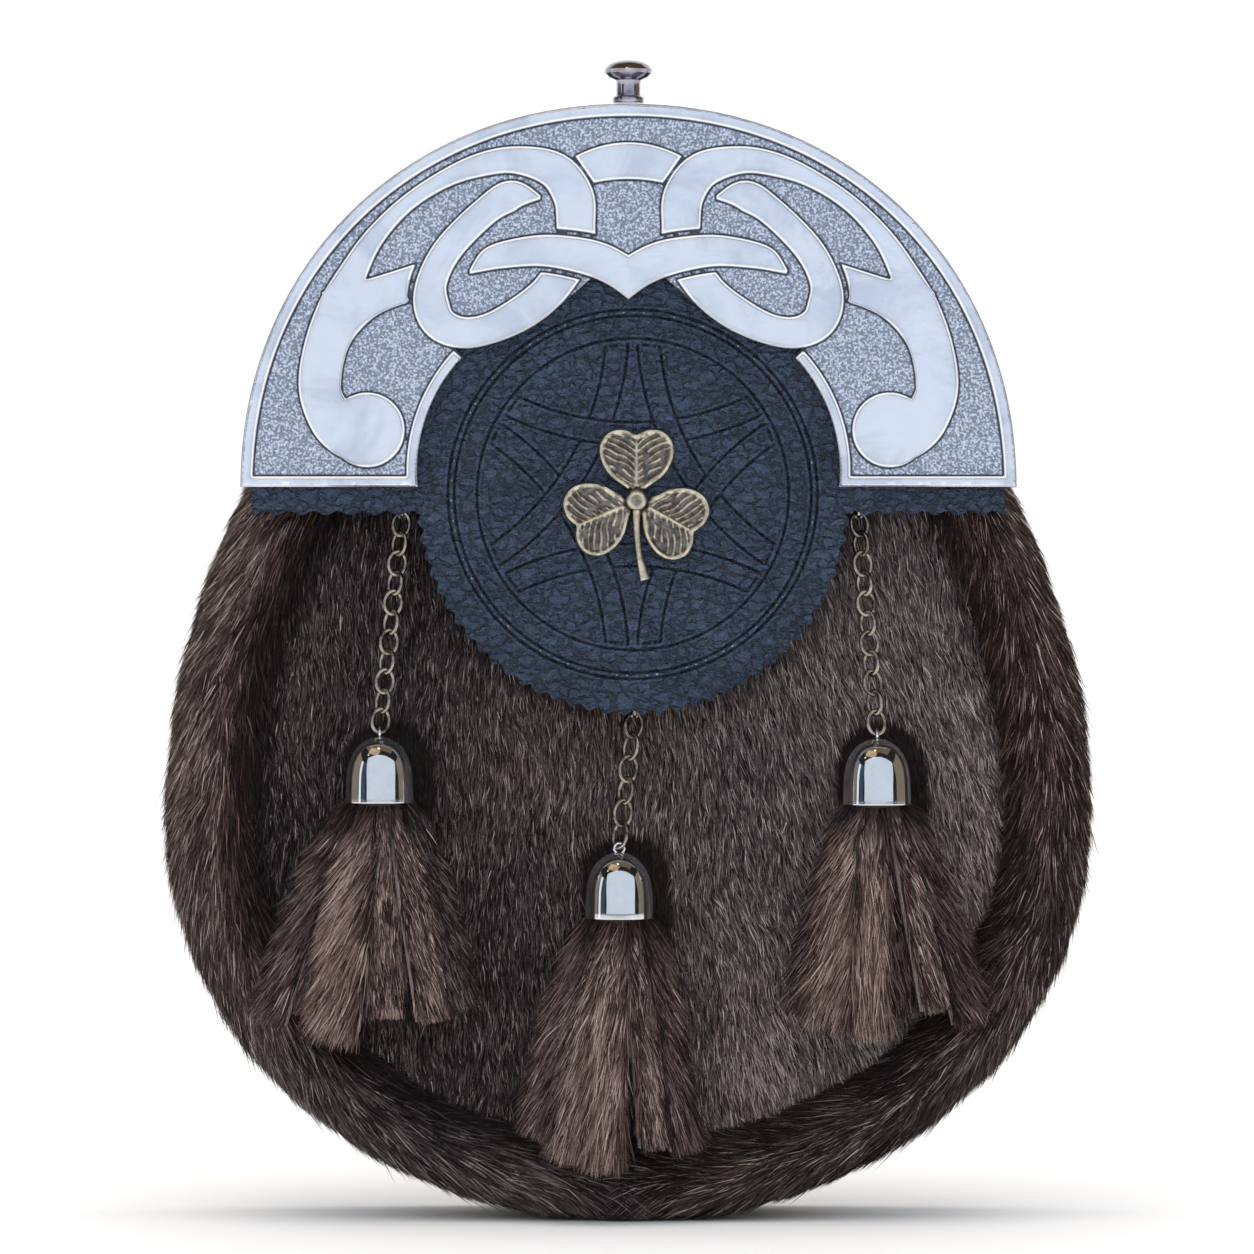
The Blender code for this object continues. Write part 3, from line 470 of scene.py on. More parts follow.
class Look:
    """A material and short ways to add nodes to it."""

    def __init__(self, name, roughness=0.5, metallic=0.0, specular=0.5, colour=(0.5, 0.5, 0.5)):
        self.made = bpy.data.materials.new(name)
        self.made.use_nodes = True
        self.tree = self.made.node_tree
        self.shader = self.tree.nodes["Principled BSDF"]
        self.shader.inputs["Roughness"].default_value = roughness
        self.shader.inputs["Metallic"].default_value = metallic
        self.shader.inputs["Specular IOR Level"].default_value = specular
        self.shader.inputs["Base Color"].default_value = (*colour, 1)
        self.place = self.tree.nodes.new("ShaderNodeTexCoord").outputs["Object"]

    def node(self, kind, **settings):
        made = self.tree.nodes.new("ShaderNode" + kind)
        for key, value in settings.items():
            setattr(made, key, value)
        return made

    def link(self, start, end):
        self.tree.links.new(start, end)

    def put(self, socket, value):
        if isinstance(value, bpy.types.NodeSocket):
            self.link(value, socket)
        else:
            socket.default_value = value

    def noise(self, scale, detail=4.0, rough=0.5, warp=0.0, place=None):
        made = self.node("TexNoise")
        made.inputs["Scale"].default_value = scale
        made.inputs["Detail"].default_value = detail
        made.inputs["Roughness"].default_value = rough
        made.inputs["Distortion"].default_value = warp
        self.link(place or self.place, made.inputs["Vector"])
        return made.outputs["Fac"]

    def cells(self, scale, feature="F1", place=None):
        made = self.node("TexVoronoi", feature=feature)
        made.inputs["Scale"].default_value = scale
        self.link(place or self.place, made.inputs["Vector"])
        return made.outputs["Distance"]

    def attribute(self, name):
        return self.node("Attribute", attribute_name=name).outputs["Fac"]

    def colour_attribute(self, name):
        return self.node("Attribute", attribute_name=name).outputs["Color"]

    def maths(self, kind, a, b=0.0, c=0.0):
        made = self.node("Math", operation=kind)
        for socket, value in zip(made.inputs, (a, b, c)):
            self.put(socket, value)
        return made.outputs[0]

    def spread(self, value, low, high, to_low=0.0, to_high=1.0):
        made = self.node("MapRange", interpolation_type="SMOOTHSTEP")
        for key, number in (("Value", value), ("From Min", low), ("From Max", high),
                            ("To Min", to_low), ("To Max", to_high)):
            self.put(made.inputs[key], number)
        return made.outputs["Result"]

    def band(self, value, *edges):
        """1 between the second and third edge, and 0 before the first and past the fourth."""
        up = self.spread(value, edges[0], edges[1])
        return self.maths("MULTIPLY", up, self.spread(value, edges[2], edges[3], 1.0, 0.0))

    def blend(self, share, a, b):
        made = self.node("Mix", data_type="RGBA")
        self.put(made.inputs[0], share)
        for socket, value in ((made.inputs[6], a), (made.inputs[7], b)):
            self.put(socket, (*value, 1) if isinstance(value, tuple) else value)
        return made.outputs[2]

    def warped(self, amount, scale, stretch=(1.0, 1.0, 1.0)):
        """Coordinates pushed about by noise, for crease patterns."""
        wobble = self.node("TexNoise")
        wobble.inputs["Scale"].default_value = scale
        self.link(self.place, wobble.inputs["Vector"])
        shift = self.node("VectorMath", operation="MULTIPLY_ADD")
        self.link(wobble.outputs["Color"], shift.inputs[0])
        shift.inputs[1].default_value = (amount, amount, amount)
        self.link(self.stretched(*stretch), shift.inputs[2])
        return shift.outputs[0]

    def stretched(self, x, y, z):
        made = self.node("Mapping")
        made.inputs["Scale"].default_value = (x, y, z)
        self.link(self.place, made.inputs["Vector"])
        return made.outputs["Vector"]

    def bump(self, height, distance, strength=1.0, after=None):
        made = self.node("Bump")
        made.inputs["Strength"].default_value = strength
        made.inputs["Distance"].default_value = distance
        self.link(height, made.inputs["Height"])
        if after is not None:
            self.link(after, made.inputs["Normal"])
        return made.outputs["Normal"]

    def colour(self, value):
        self.put(self.shader.inputs["Base Color"], value)

    def roughness(self, value):
        self.put(self.shader.inputs["Roughness"], value)

    def normal(self, value):
        self.link(value, self.shader.inputs["Normal"])


def pewter_look():
    """Cast pewter: polished bands over a dull stippled ground, worn edges painted bright as a highlight.

    The painted number away says how far inside a band a point lies.
    """
    look = Look("cast_pewter", 0.3, 1.0)
    away = look.attribute("away")
    ground = look.spread(away, -0.25, 0.05, 1.0, 0.0)
    smudge = look.noise(75, 5, 0.6, 0.6)
    streak = look.noise(1.0, 4, 0.65, 0.0, look.stretched(300, 300, 1900))
    bright = look.blend(look.spread(smudge, 0.32, 0.60), (0.64, 0.68, 0.78), (0.79, 0.83, 0.92))
    bright = look.blend(look.spread(streak, 0.50, 0.85, 0.0, 0.22), bright, (0.46, 0.49, 0.58))
    shaded = look.maths("MULTIPLY", look.spread(away, 0.45, 1.35, 0.34, 0.0),
                        look.spread(smudge, 0.3, 0.6, 1.0, 0.5))
    bright = look.blend(shaded, bright, (0.30, 0.33, 0.42))
    # worn edge of each band, also painted bright as a highlight
    worn = look.band(away, 0.04, 0.14, 0.34, 0.52)
    bright = look.blend(look.maths("MULTIPLY", worn, 0.85), bright, (0.93, 0.96, 1.0))
    grain = look.cells(2100, "SMOOTH_F1", look.warped(0.0005, 1500))
    speck = look.noise(3000, 3, 0.7)
    both = look.maths("MULTIPLY_ADD", speck, 0.8, look.spread(grain, 0.15, 0.6, 0.4, 0.0))
    dull = look.blend(look.spread(both, 0.36, 0.84), (0.20, 0.235, 0.31), (0.66, 0.73, 0.88))
    both = look.blend(ground, bright, dull)
    # painted shade: the groove round each band is painted near black
    groove = look.band(away, -0.5, -0.2, -0.05, 0.09)
    look.colour(look.blend(look.maths("MULTIPLY", groove, 0.90), both, (0.020, 0.026, 0.042)))
    rim = look.maths("MULTIPLY", look.band(away, -0.05, 0.06, 0.40, 0.6), -0.30)
    look.put(look.shader.inputs["Metallic"],
             look.maths("ADD", look.spread(away, 0.34, 0.6, 0.45, 0.85), rim))
    look.roughness(look.spread(ground, 0.0, 1.0, 0.27, 0.48))
    first = look.bump(look.maths("MULTIPLY", grain, ground), 0.00045, 0.9)
    fine = look.noise(1.0, 4, 0.6, 0.0, look.stretched(700, 700, 2600))
    look.normal(look.bump(fine, 0.000012, 0.5, first))
    return look.made


def leather_look(name, light, dark, roughness):
    """Crumpled leather with a soft gloss; groove holds the distance to the nearest tooled line."""
    look = Look(name, roughness, 0.0, 0.36)
    place = look.warped(0.0030, 380, (0.72, 1.0, 1.2))
    large = look.cells(400, "DISTANCE_TO_EDGE", place)
    small = look.cells(900, "DISTANCE_TO_EDGE", place)
    creases = look.maths("MULTIPLY", look.spread(large, 0.0, 0.13), look.spread(small, -0.06, 0.14))
    broad = look.noise(90, 4, 0.6)
    grain = look.noise(1900, 4, 0.7, 0.5)
    tone = look.blend(look.spread(broad, 0.35, 0.68), dark, light)
    # painted highlight: the raised grain is painted lighter and bluer
    tone = look.blend(look.spread(grain, 0.42, 0.72, 0.0, 0.35), tone, tuple(1.8 * c for c in light))
    # painted shade: the creases are painted darker
    tone = look.blend(look.spread(creases, 0.0, 0.8, 0.68, 0.0), tone, tuple(0.16 * c for c in dark))
    near = look.attribute("groove")
    # painted highlight along the lips beside each tooled line; next, the lines themselves are painted near
    # black
    lips = look.maths("MULTIPLY", look.band(near, 0.34, 0.5, 0.55, 0.9), 0.22)
    tone = look.blend(lips, tone, tuple(2.2 * c for c in light))
    tone = look.blend(look.spread(near, 0.08, 0.38, 0.92, 0.0), tone, tuple(0.10 * c for c in dark))
    look.colour(look.blend(look.attribute("scuff"), tone, (0.34, 0.38, 0.45)))
    look.roughness(look.spread(broad, 0.3, 0.7, roughness - 0.07, roughness + 0.08))
    first = look.bump(look.spread(large, 0.0, 0.22), 0.00055, 1.0)
    second = look.bump(look.spread(small, 0.0, 0.25), 0.00022, 1.0, first)
    look.normal(look.bump(grain, 0.00016, 0.9, second))
    return look.made


def plain_leather_look(name, light, dark):
    """Smooth matt leather of the back and the loops."""
    look = Look(name, 0.58, 0.0, 0.4)
    place = look.warped(0.0012, 700)
    pebble = look.cells(1150, "DISTANCE_TO_EDGE", place)
    broad = look.noise(60, 5, 0.6)
    look.colour(look.blend(look.spread(broad, 0.35, 0.7), dark, light))
    first = look.bump(look.spread(pebble, 0.0, 0.2), 0.00009, 0.7)
    look.normal(look.bump(look.noise(2400, 3), 0.00003, 0.5, first))
    return look.made


def metal_look(name, light, dark, roughness, scale=260.0, metallic=1.0):
    """Plated metal with faint tarnish and hairline scratches."""
    look = Look(name, roughness, metallic)
    cloud = look.noise(scale, 5, 0.6, 0.3)
    look.colour(look.blend(look.spread(cloud, 0.35, 0.72), light, dark))
    look.roughness(look.spread(look.noise(scale * 1.5, 3), 0.3, 0.75, roughness * 0.85, roughness * 1.3))
    look.normal(look.bump(look.noise(1.0, 2, 0.5, 0.0, look.stretched(500, 500, 2600)), 0.000003, 0.3))
    return look.made


def bronze_look():
    """Antiqued bronze: pale worn rims and veins over a dark field."""
    look = Look("antique_bronze", 0.36, 1.0)
    worn = look.spread(look.attribute("raised"), 0.1, 0.75)
    cloud = look.noise(700, 4, 0.6)
    pale = look.blend(look.spread(cloud, 0.3, 0.7), (0.44, 0.38, 0.29), (0.74, 0.67, 0.55))
    deep = look.blend(look.spread(cloud, 0.3, 0.7), (0.075, 0.068, 0.068), (0.27, 0.245, 0.235))
    look.colour(look.blend(worn, deep, pale))
    look.roughness(look.spread(worn, 0.0, 1.0, 0.55, 0.30))
    look.normal(look.bump(look.noise(2600, 4, 0.6), 0.00005, 0.6))
    return look.made


def fur_look():
    """Single hairs, each with its own colour from root to tip, and faint bands along it."""
    look = Look("fur_hair", 0.42, 0.0, 0.28)
    hue = look.colour_attribute("hair")
    spot = look.node("UVMap", uv_map="OFBake").outputs["UV"]
    bands = look.noise(130, 2, 0.5, 0.0, spot)
    look.colour(look.blend(look.spread(bands, 0.38, 0.66, 0.0, 0.5), hue, (0.012, 0.009, 0.008)))
    depth = look.node("SeparateColor")
    look.link(hue, depth.inputs[0])
    look.put(look.shader.inputs["Specular IOR Level"], look.spread(depth.outputs[0], 0.005, 0.04, 0.02, 0.3))
    return look.made


def underfur_look():
    look = Look("underfur", 0.9, 0.0, 0.15)
    streak = look.noise(1.0, 4, 0.6, 0.4, look.stretched(1500, 1500, 260))
    look.colour(look.blend(look.spread(streak, 0.35, 0.7), (0.010, 0.008, 0.007), (0.032, 0.025, 0.021)))
    look.normal(look.bump(streak, 0.0005, 1.0))
    return look.made


def hide_look():
    """Raw cut edge and flesh side of the tassels' hide."""
    look = Look("cut_hide", 0.75, 0.0, 0.25)
    grain = look.noise(1500, 5, 0.65)
    edge = look.attribute("cut")
    pale = look.blend(look.spread(grain, 0.3, 0.7), (0.15, 0.12, 0.115), (0.34, 0.285, 0.275))
    dark = look.blend(look.spread(grain, 0.3, 0.7), (0.026, 0.017, 0.015), (0.070, 0.046, 0.042))
    look.colour(look.blend(edge, dark, pale))
    look.normal(look.bump(grain, 0.00012, 0.8))
    return look.made


def thread_look():
    look = Look("waxed_thread", 0.6, 0.0, 0.3)
    twist = look.noise(1.0, 2, 0.5, 0.0, look.stretched(3000, 3000, 3000))
    look.colour(look.blend(look.spread(twist, 0.35, 0.65), (0.02, 0.02, 0.024), (0.06, 0.06, 0.07)))
    look.normal(look.bump(twist, 0.0001, 0.8))
    return look.made


def floor_look():
    look = Look("studio_floor", 0.9, 0.0, 0.0)
    mottle = look.noise(3, 3, 0.5)
    look.colour(look.blend(mottle, (0.93, 0.93, 0.93), (0.95, 0.95, 0.95)))
    return look.made


# --- pouch outline ---

def egg(turn, inset):
    """Points (x, z) and outward normals on the fur's outline, drawn in by inset; turn in degrees."""
    angle = np.radians(turn)
    height = np.where(np.abs(turn) < 90, FUR_DROP, FUR_RISE)
    x = FUR_HALF_WIDTH * np.sin(angle)
    z = FUR_WIDEST_Z - height * np.cos(angle)
    nx, nz = np.sin(angle) / FUR_HALF_WIDTH, -np.cos(angle) / height
    size = np.hypot(nx, nz)
    nx, nz = nx / size, nz / size
    return x - nx * inset, z - nz * inset, nx, nz


EGG_TURNS = np.linspace(0, 180, 721)


def egg_half_width(z, inset):
    x, zs, _, _ = egg(EGG_TURNS, inset)
    return np.interp(z, zs, x)


def panel_y(x, z):
    half = np.maximum(egg_half_width(z, PANEL_INSET), 0.001)
    reach = np.where(z < FUR_WIDEST_Z, FUR_DROP, FUR_RISE) - PANEL_INSET
    rise = np.maximum(0.0, 1 - ((z - FUR_WIDEST_Z) / reach) ** 2)
    return PANEL_EDGE_Y - PANEL_CROWN * (1 - np.minimum(1.0, (x / half) ** 2)) * rise ** 0.7


# Section of the side wall's skin under the fur: inset from the outline, and Y
SKIN_WALL = (
    (14.0, 19.4), (7.0, 19.4), (4.8, 17.4), (3.4, 13.0), (2.9, 3.0), (2.9, -9.0), (3.4, -16.0),
    (4.9, -19.8), (7.8, -22.2), (11.2, -22.7), (14.8, -20.9), (17.4, -18.4), (18.2, -16.4),
)
SKIN_INNER = ((11.0, -11.0), (8.5, 2.0))
SKIN_END = 180 - math.degrees(math.acos((GUSSET_TOP_Z - FUR_WIDEST_Z) / FUR_RISE))


def gusset_skin(surface):
    section = np.vstack([smooth_rows(SKIN_WALL, 4), SKIN_INNER])
    rings = []
    for turn in np.linspace(-SKIN_END, SKIN_END, 181):
        x, z, _, _ = egg(np.full(len(section), turn), section[:, 0])
        rings.append(np.stack([x, section[:, 1], np.maximum(z, 0.25)], 1))
    return rings_object("gusset_skin", rings, surface, angle=60)


def panel_skin(surface):
    rings = []
    for turn in np.concatenate([[5, 9], np.linspace(14, 154, 36)]):
        half, z = (float(v[0]) for v in egg(np.array([turn]), PANEL_INSET)[:2])
        x = half * np.sin(np.radians(np.linspace(-90, 90, 33)))
        y = panel_y(x, np.full_like(x, z)) + 1.3
        front = np.stack([x, y, np.full_like(x, z)], 1)
        back = (front + (0, 1.6, 0))[::-4]
        rings.append(np.vstack([front, back]))
    return rings_object("panel_skin", rings, surface, angle=60)


# --- fur ---

TONES = 16
WARMTHS = 16
COLD = np.array([(0.009, 0.007, 0.008), (0.062, 0.047, 0.050), (0.165, 0.130, 0.134), (0.50, 0.43, 0.42)])
WARM = np.array([(0.013, 0.006, 0.005), (0.100, 0.049, 0.040), (0.260, 0.155, 0.128), (0.62, 0.47, 0.40)])


def hair_colour(tone, warmth):
    """Colour of a hair from its tone and warmth, each from 0 to 1."""
    stops = (0.0, 0.4, 0.75, 1.0)
    cold = between(tone, stops, COLD)
    warm = between(tone, stops, WARM)
    return cold + (warm - cold) * warmth[..., None]


def hairs(name, root, normal, flow, length, lift, width, tone, warmth, surface, rng):
    """A piece of fur: each hair is two long triangles with a bend, in its own colour.

    Each hair also has a place in the map OFBake that depends only on its colour.
    """
    count = len(root)
    flow = flow - normal * np.einsum("ij,ij->i", flow, normal)[:, None]
    flow /= np.linalg.norm(flow, axis=1, keepdims=True)
    length = length[:, None]
    rise = (lift * 1.9)[:, None]
    fall = (lift * rng.uniform(0.1, 0.9, count))[:, None]
    middle = root + length * 0.42 * (flow * np.cos(rise) + normal * np.sin(rise))
    tip = middle + length * 0.58 * (flow * np.cos(fall) + normal * np.sin(fall))
    roll = rng.uniform(-1.1, 1.1, count)[:, None]
    side = np.cross(flow, normal)
    wide = (side * np.cos(roll) + normal * np.sin(roll)) * (width / 2)[:, None]
    points = np.stack([root, middle - wide, middle + wide, tip], 1)
    points[..., 2] = np.maximum(points[..., 2], 0.05)
    base = 4 * np.arange(count)[:, None]
    corners = (base + np.array([0, 2, 1, 1, 2, 3])).ravel()
    item = new_object(name, points.reshape(-1, 3), corners, np.full(2 * count, 3), surface, smooth=False)
    tones = np.clip((tone * TONES).astype(int), 0, TONES - 1)
    warmths = np.clip((warmth * WARMTHS).astype(int), 0, WARMTHS - 1)
    hue = hair_colour((tones + 0.5) / TONES, (warmths + 0.5) / WARMTHS)
    shades = np.array([0.18, 0.90, 0.90, 1.30])
    colours = np.ones((count, 4, 4))
    colours[..., :3] = np.clip(hue[:, None] * shades[None, :, None], 0, 1)
    layer = item.data.attributes.new("hair", "FLOAT_COLOR", "POINT")
    layer.data.foreach_set("color", colours.astype(np.float32).ravel())
    cell = np.stack([tones / TONES, warmths / WARMTHS], 1)[:, None]
    spot = np.array([(0.5, 0.1), (0.15, 0.5), (0.85, 0.5), (0.5, 0.9)]) / (TONES, WARMTHS)
    maps = (cell + spot[None]).reshape(-1, 2)[corners]
    uv = item.data.uv_layers.new(name="OFBake")
    uv.uv.foreach_set("vector", maps.astype(np.float32).ravel())
    return item


def bell_shadow(x, z):
    """How deep in the painted shadow round a bell a place on the fur lies, from 0 to 1."""
    shade = np.zeros_like(x)
    for hanger in HANGERS.values():
        bx, _, bz = hanger["bell"]
        away = np.hypot(x - bx - 1.5, np.maximum(z - bz - 7, 0))
        shade = np.maximum(shade, (1 - step(8.7, 10.0, away)) * step(bz - 3.0, bz - 0.5, z))
    return shade


# Lean of the rim's hair off the way down, in radians, outward or back positive, by share of the section
RIM_LEAN_SHARE = (0.0, 0.5, 0.66, 0.78, 0.86, 0.93, 1.0)
RIM_LEAN = {-1: (0.15, 0.2, 0.34, 0.26, 0.12, -0.06, -0.2), 1: (0.15, 0.2, 0.34, 0.16, -0.14, -0.42, -0.6)}


def rim_fur(name, side, zone, count, seed, surface):
    """Long pile of the side wall or of its front roll, on one side of the middle."""
    rng = np.random.default_rng(seed)
    section = smooth_rows(SKIN_WALL[1:-1], 12)
    run = np.concatenate([[0], np.cumsum(np.hypot(*np.diff(section, axis=0).T))])
    run /= run[-1]
    share = rng.uniform(*zone, count)
    turns = np.linspace(0, SKIN_END + 1.0, 600)
    ex, ez, _, _ = egg(turns, 0.0)
    reach = np.concatenate([[0], np.cumsum(np.hypot(np.diff(ex), np.diff(ez)))])
    turn = np.interp(rng.random(count) * reach[-1], reach, turns)
    inset = np.interp(share, run, section[:, 0])
    y = np.interp(share, run, section[:, 1])
    way = np.stack([np.interp(share, run, np.gradient(section[:, k], run)) for k in range(2)], 1)
    way /= np.linalg.norm(way, axis=1, keepdims=True)
    x, z, nx, nz = egg(turn * side, inset)
    normal = np.stack([-nx * way[:, 1], -way[:, 0], -nz * way[:, 1]], 1)
    toward_back = np.stack([nx * way[:, 0], -way[:, 1], nz * way[:, 0]], 1)
    down = np.stack([side * nz, np.zeros(count), -side * nx], 1)
    down *= np.where(down[:, 2:3] > 0, -1, 1)
    at = np.interp(turn, turns, reach)
    across = share * 55
    near_foot = 1 - step(0.0, 14.0, turn)
    lean = np.interp(share, RIM_LEAN_SHARE, RIM_LEAN[side])
    lean = lean * (1 - near_foot) + (0.9 - 1.6 * step(0.75, 1.0, share)) * near_foot
    lean += wander(at, across, 15, seed) * 0.14 + wander(at, across, 4.5, seed + 1) * 0.18
    lean += wander(at, across, 1.6, seed + 6) * 0.20
    flow = down * np.cos(lean)[:, None] + toward_back * np.sin(lean)[:, None]
    flow += rng.normal(0, 0.12, (count, 3))
    length = rng.uniform(4.2, 8.6, count) * (1 + 0.12 * wander(at, across, 7, seed + 2))
    length *= np.where(rng.random(count) < 0.05, 1.3, 1.0)
    lift = rng.uniform(6, 14, count) + 3 * wander(at, across, 5, seed + 3)
    lift = np.radians(lift + 6 * (1 - step(0.70, 0.82, share)) * (1 - step(105, 150, z)) * step(8, 30, z))
    width = rng.uniform(0.15, 0.30, count)
    patch = wander(at, across, 26, seed + 4)
    streak = wander(at * 0.3, across, 2.0, seed + 5)
    # painted light: the left rim is painted lighter than the right
    tone = (0.17 if side < 0 else 0.02) + 0.25 * rng.normal(size=count) + 0.10 * patch + 0.18 * streak
    tone = np.where(rng.random(count) < (0.13 if side < 0 else 0.09), 0.72 + 0.24 * rng.random(count), tone)
    # painted highlight along the crest of the roll
    tone += 0.10 * np.exp(-((share - 0.78) / 0.09) ** 2)
    # painted shade in the valley where the roll meets the panel, deeper on the left
    tone -= (0.50 if side < 0 else 0.34) * step(0.86, 0.97, share)
    tone += 0.06 * step(70, 150, z) - 0.05 * (1 - step(10, 60, z))
    warmth = 0.50 + 0.22 * patch + 0.25 * step(60, 130, z) - 0.25 * (1 - step(15, 60, z))
    warmth += 0.11 * rng.normal(size=count) + (0.0 if side < 0 else 0.14)
    root = np.stack([x, y, np.maximum(z, 0.3)], 1)
    return hairs(name, root, normal, flow, length, lift, width, tone, warmth, surface, rng)


def panel_fur(name, count, seed, surface):
    """Short pile of the front panel."""
    rng = np.random.default_rng(seed)
    tries = int(count * 2.6)
    x = rng.uniform(-80, 80, tries)
    z = rng.uniform(15, 152, tries)
    keep = (np.abs(x) < egg_half_width(z, 17.8)) & (z > 17.5)
    keep &= np.hypot(x - TONGUE_CENTRE[0], z - TONGUE_CENTRE[1]) > 39
    x, z = x[keep][:count], z[keep][:count]
    count = len(x)
    y = panel_y(x, z) + 1.4
    small = 0.5
    slope_x = (panel_y(x + small, z) - panel_y(x - small, z)) / (2 * small)
    slope_z = (panel_y(x, z + small) - panel_y(x, z - small)) / (2 * small)
    slope_x, slope_z = np.clip(slope_x, -0.6, 0.6), np.clip(slope_z, -0.6, 0.6)
    normal = np.stack([slope_x, -np.ones(count), slope_z], 1)
    normal /= np.linalg.norm(normal, axis=1, keepdims=True)
    lean = 0.02 + 0.27 * step(-25, 45, x) + 0.13 * wander(x, z, 13, seed) + 0.16 * wander(x, z, 4, seed + 1)
    lean += 0.22 * wander(x, z, 1.5, seed + 6)
    flow = np.stack([np.sin(lean), np.zeros(count), -np.cos(lean)], 1) + rng.normal(0, 0.13, (count, 3))
    length = rng.uniform(2.8, 5.6, count)
    low_x, low_z = x + 0.75 * length * np.sin(lean), z - 0.75 * length * np.cos(lean)
    shaded = np.maximum(bell_shadow(x, z), bell_shadow(low_x, low_z))
    lift = np.radians(rng.uniform(5, 13, count)) * (1 - 0.5 * shaded)
    width = rng.uniform(0.15, 0.30, count)
    patch = wander(x, z, 24, seed + 2)
    streak = wander(x + z * np.tan(lean), z * 0.3, 1.6, seed + 3)
    # painted light and shade: the panel is painted darker on the left and lighter on the right
    tone = 0.22 + 0.44 * step(-50, 55, x) + 0.29 * rng.normal(size=count) + 0.10 * patch + 0.18 * streak
    light = rng.random(count) < 0.14
    tone = np.where(light, 0.72 + 0.26 * rng.random(count), tone)
    length = length * np.where(light, 0.75, 1.0) * (1 - 0.4 * shaded)
    edge = egg_half_width(z, PANEL_INSET) - np.abs(x)
    # painted shade: the hair next to the rim is painted darker, more on the left
    tone -= 0.55 * (1 - step(0.5, 5.5, edge)) * np.where(x < 0, 1.0, 0.5)
    # painted shadow: the hair round each bell is painted near black
    tone = tone * (1 - shaded)
    warmth = 0.20 + 0.18 * patch + 0.14 * rng.normal(size=count)
    root = np.stack([x, y, z], 1)
    return hairs(name, root, normal, flow, length, lift, width, tone, warmth, surface, rng)


# --- tassels ---

STRIPS = {
    "left": (
        # end x, end z, width, forward, turn, tone, warmth, hair length, lean, hair past the end, fan
        (-74.0, 42.6, 6.5, 0.0, -16, 0.46, 0.45, 7.5, -0.30, 2.5, 0.14),
        (-66.2, 44.6, 7.0, 0.4, -10, 0.40, 0.40, 6.0, -0.22, 2.5, 0.08),
        (-59.9, 41.0, 8.6, 3.0, -4, 0.66, 0.72, 9.5, -0.36, 5.5, 0.14),
        (-50.4, 43.4, 8.2, 2.2, 17, 0.46, 0.66, 4.2, 0.02, 0.8, 0.05),
        (-40.7, 43.0, 7.0, 2.6, 19, 0.42, 0.66, 4.8, 0.16, 1.4, 0.15),
        (-34.6, 45.2, 6.2, 0.6, 16, 0.22, 0.15, 5.5, 0.24, 1.2, 0.14),
    ),
    "centre": (
        (-18.0, 19.2, 7.2, 0.4, -16, 0.46, 0.50, 8.0, -0.32, 2.5, 0.14),
        (-12.0, 16.0, 7.6, 1.8, -12, 0.62, 0.66, 9.0, -0.28, 4.5, 0.12),
        (-5.1, 14.5, 8.2, 3.0, 0, 0.66, 0.74, 9.5, -0.16, 5.0, 0.10),
        (5.0, 16.6, 6.0, 2.4, 18, 0.42, 0.66, 5.5, 0.14, 1.5, 0.05),
        (11.4, 15.9, 6.0, 0.6, 18, 0.36, 0.50, 7.5, 0.28, 2.0, 0.14),
    ),
    "right": (
        (35.4, 44.3, 5.0, 0.4, -15, 0.28, 0.25, 6.5, -0.26, 2.0, 0.14),
        (42.0, 43.6, 8.4, 2.2, -4, 0.62, 0.74, 9.0, -0.26, 5.0, 0.15),
        (49.7, 42.0, 8.2, 3.0, 3, 0.64, 0.76, 9.0, 0.02, 5.0, 0.05),
        (57.6, 44.3, 6.2, 0.2, 12, 0.26, 0.45, 5.5, 0.08, 2.0, 0.05),
        (63.8, 45.2, 6.8, 2.0, 18, 0.46, 0.66, 6.0, 0.20, 1.6, 0.10),
        (70.2, 42.6, 6.4, 0.6, 16, 0.38, 0.50, 7.5, 0.30, 2.8, 0.14),
    ),
}
STRIP_HALF_THICKNESS = 0.8
STRIP_ROWS = 22


def strip_line(hanger, index, total, row):
    """Middle line, unit vectors across, down and out of the front, and half width of one strip."""
    bx, by, bz = hanger["bell"]
    end_x, end_z, width, forward, turn = row[:5]
    spread = (index / (total - 1) - 0.5) * 9.4
    start = np.array([bx + spread, by + 0.6, bz + 1.5])
    end = np.array([end_x, by + 1.2 - forward, end_z])
    t = np.linspace(0, 1, STRIP_ROWS)
    line = start + (end - start) * np.stack([t ** 0.82, np.minimum(1, 3 * t), t], 1)
    lean = np.arctan2(end[0] - start[0], start[2] - end[2])
    half = width / 2 * np.interp(t, [0, 0.12, 0.5, 1], [0.45, 0.74, 0.97, 1.0])
    down = np.array([np.sin(lean), 0.0, -np.cos(lean)])
    level = np.array([np.cos(lean), 0.0, np.sin(lean)])
    ahead = np.cross(down, level)
    angle = math.radians(turn)
    across = level * math.cos(angle) - ahead * math.sin(angle)
    return line, across, down, np.cross(down, across), half


def hide_strip(line, across, ahead, half, surface):
    """A flat strip of hide with a square-cut end; its edges are painted as cut."""
    profile = np.array([(-1, 0.9), (-1, -0.9), (-0.5, -1.0), (0, -1.05), (0.5, -1.0), (1, -0.9), (1, 0.9),
                        (0.5, 1.0), (0, 1.05), (-0.5, 1.0)])
    rings = [point + profile[:, :1] * wide * across - profile[:, 1:] * STRIP_HALF_THICKNESS * ahead
             for point, wide in zip(line, half)]
    item = rings_object("strip", rings, surface, angle=45)
    cut =np.zeros((len(line), len(profile)))
    cut[:, [0, 1, 5, 6]] = step(0.12, 0.4, np.linspace(0, 1, len(line)))[:, None]
    cut[-1] = 1
    paint(item, "cut", cut.ravel())
    return item


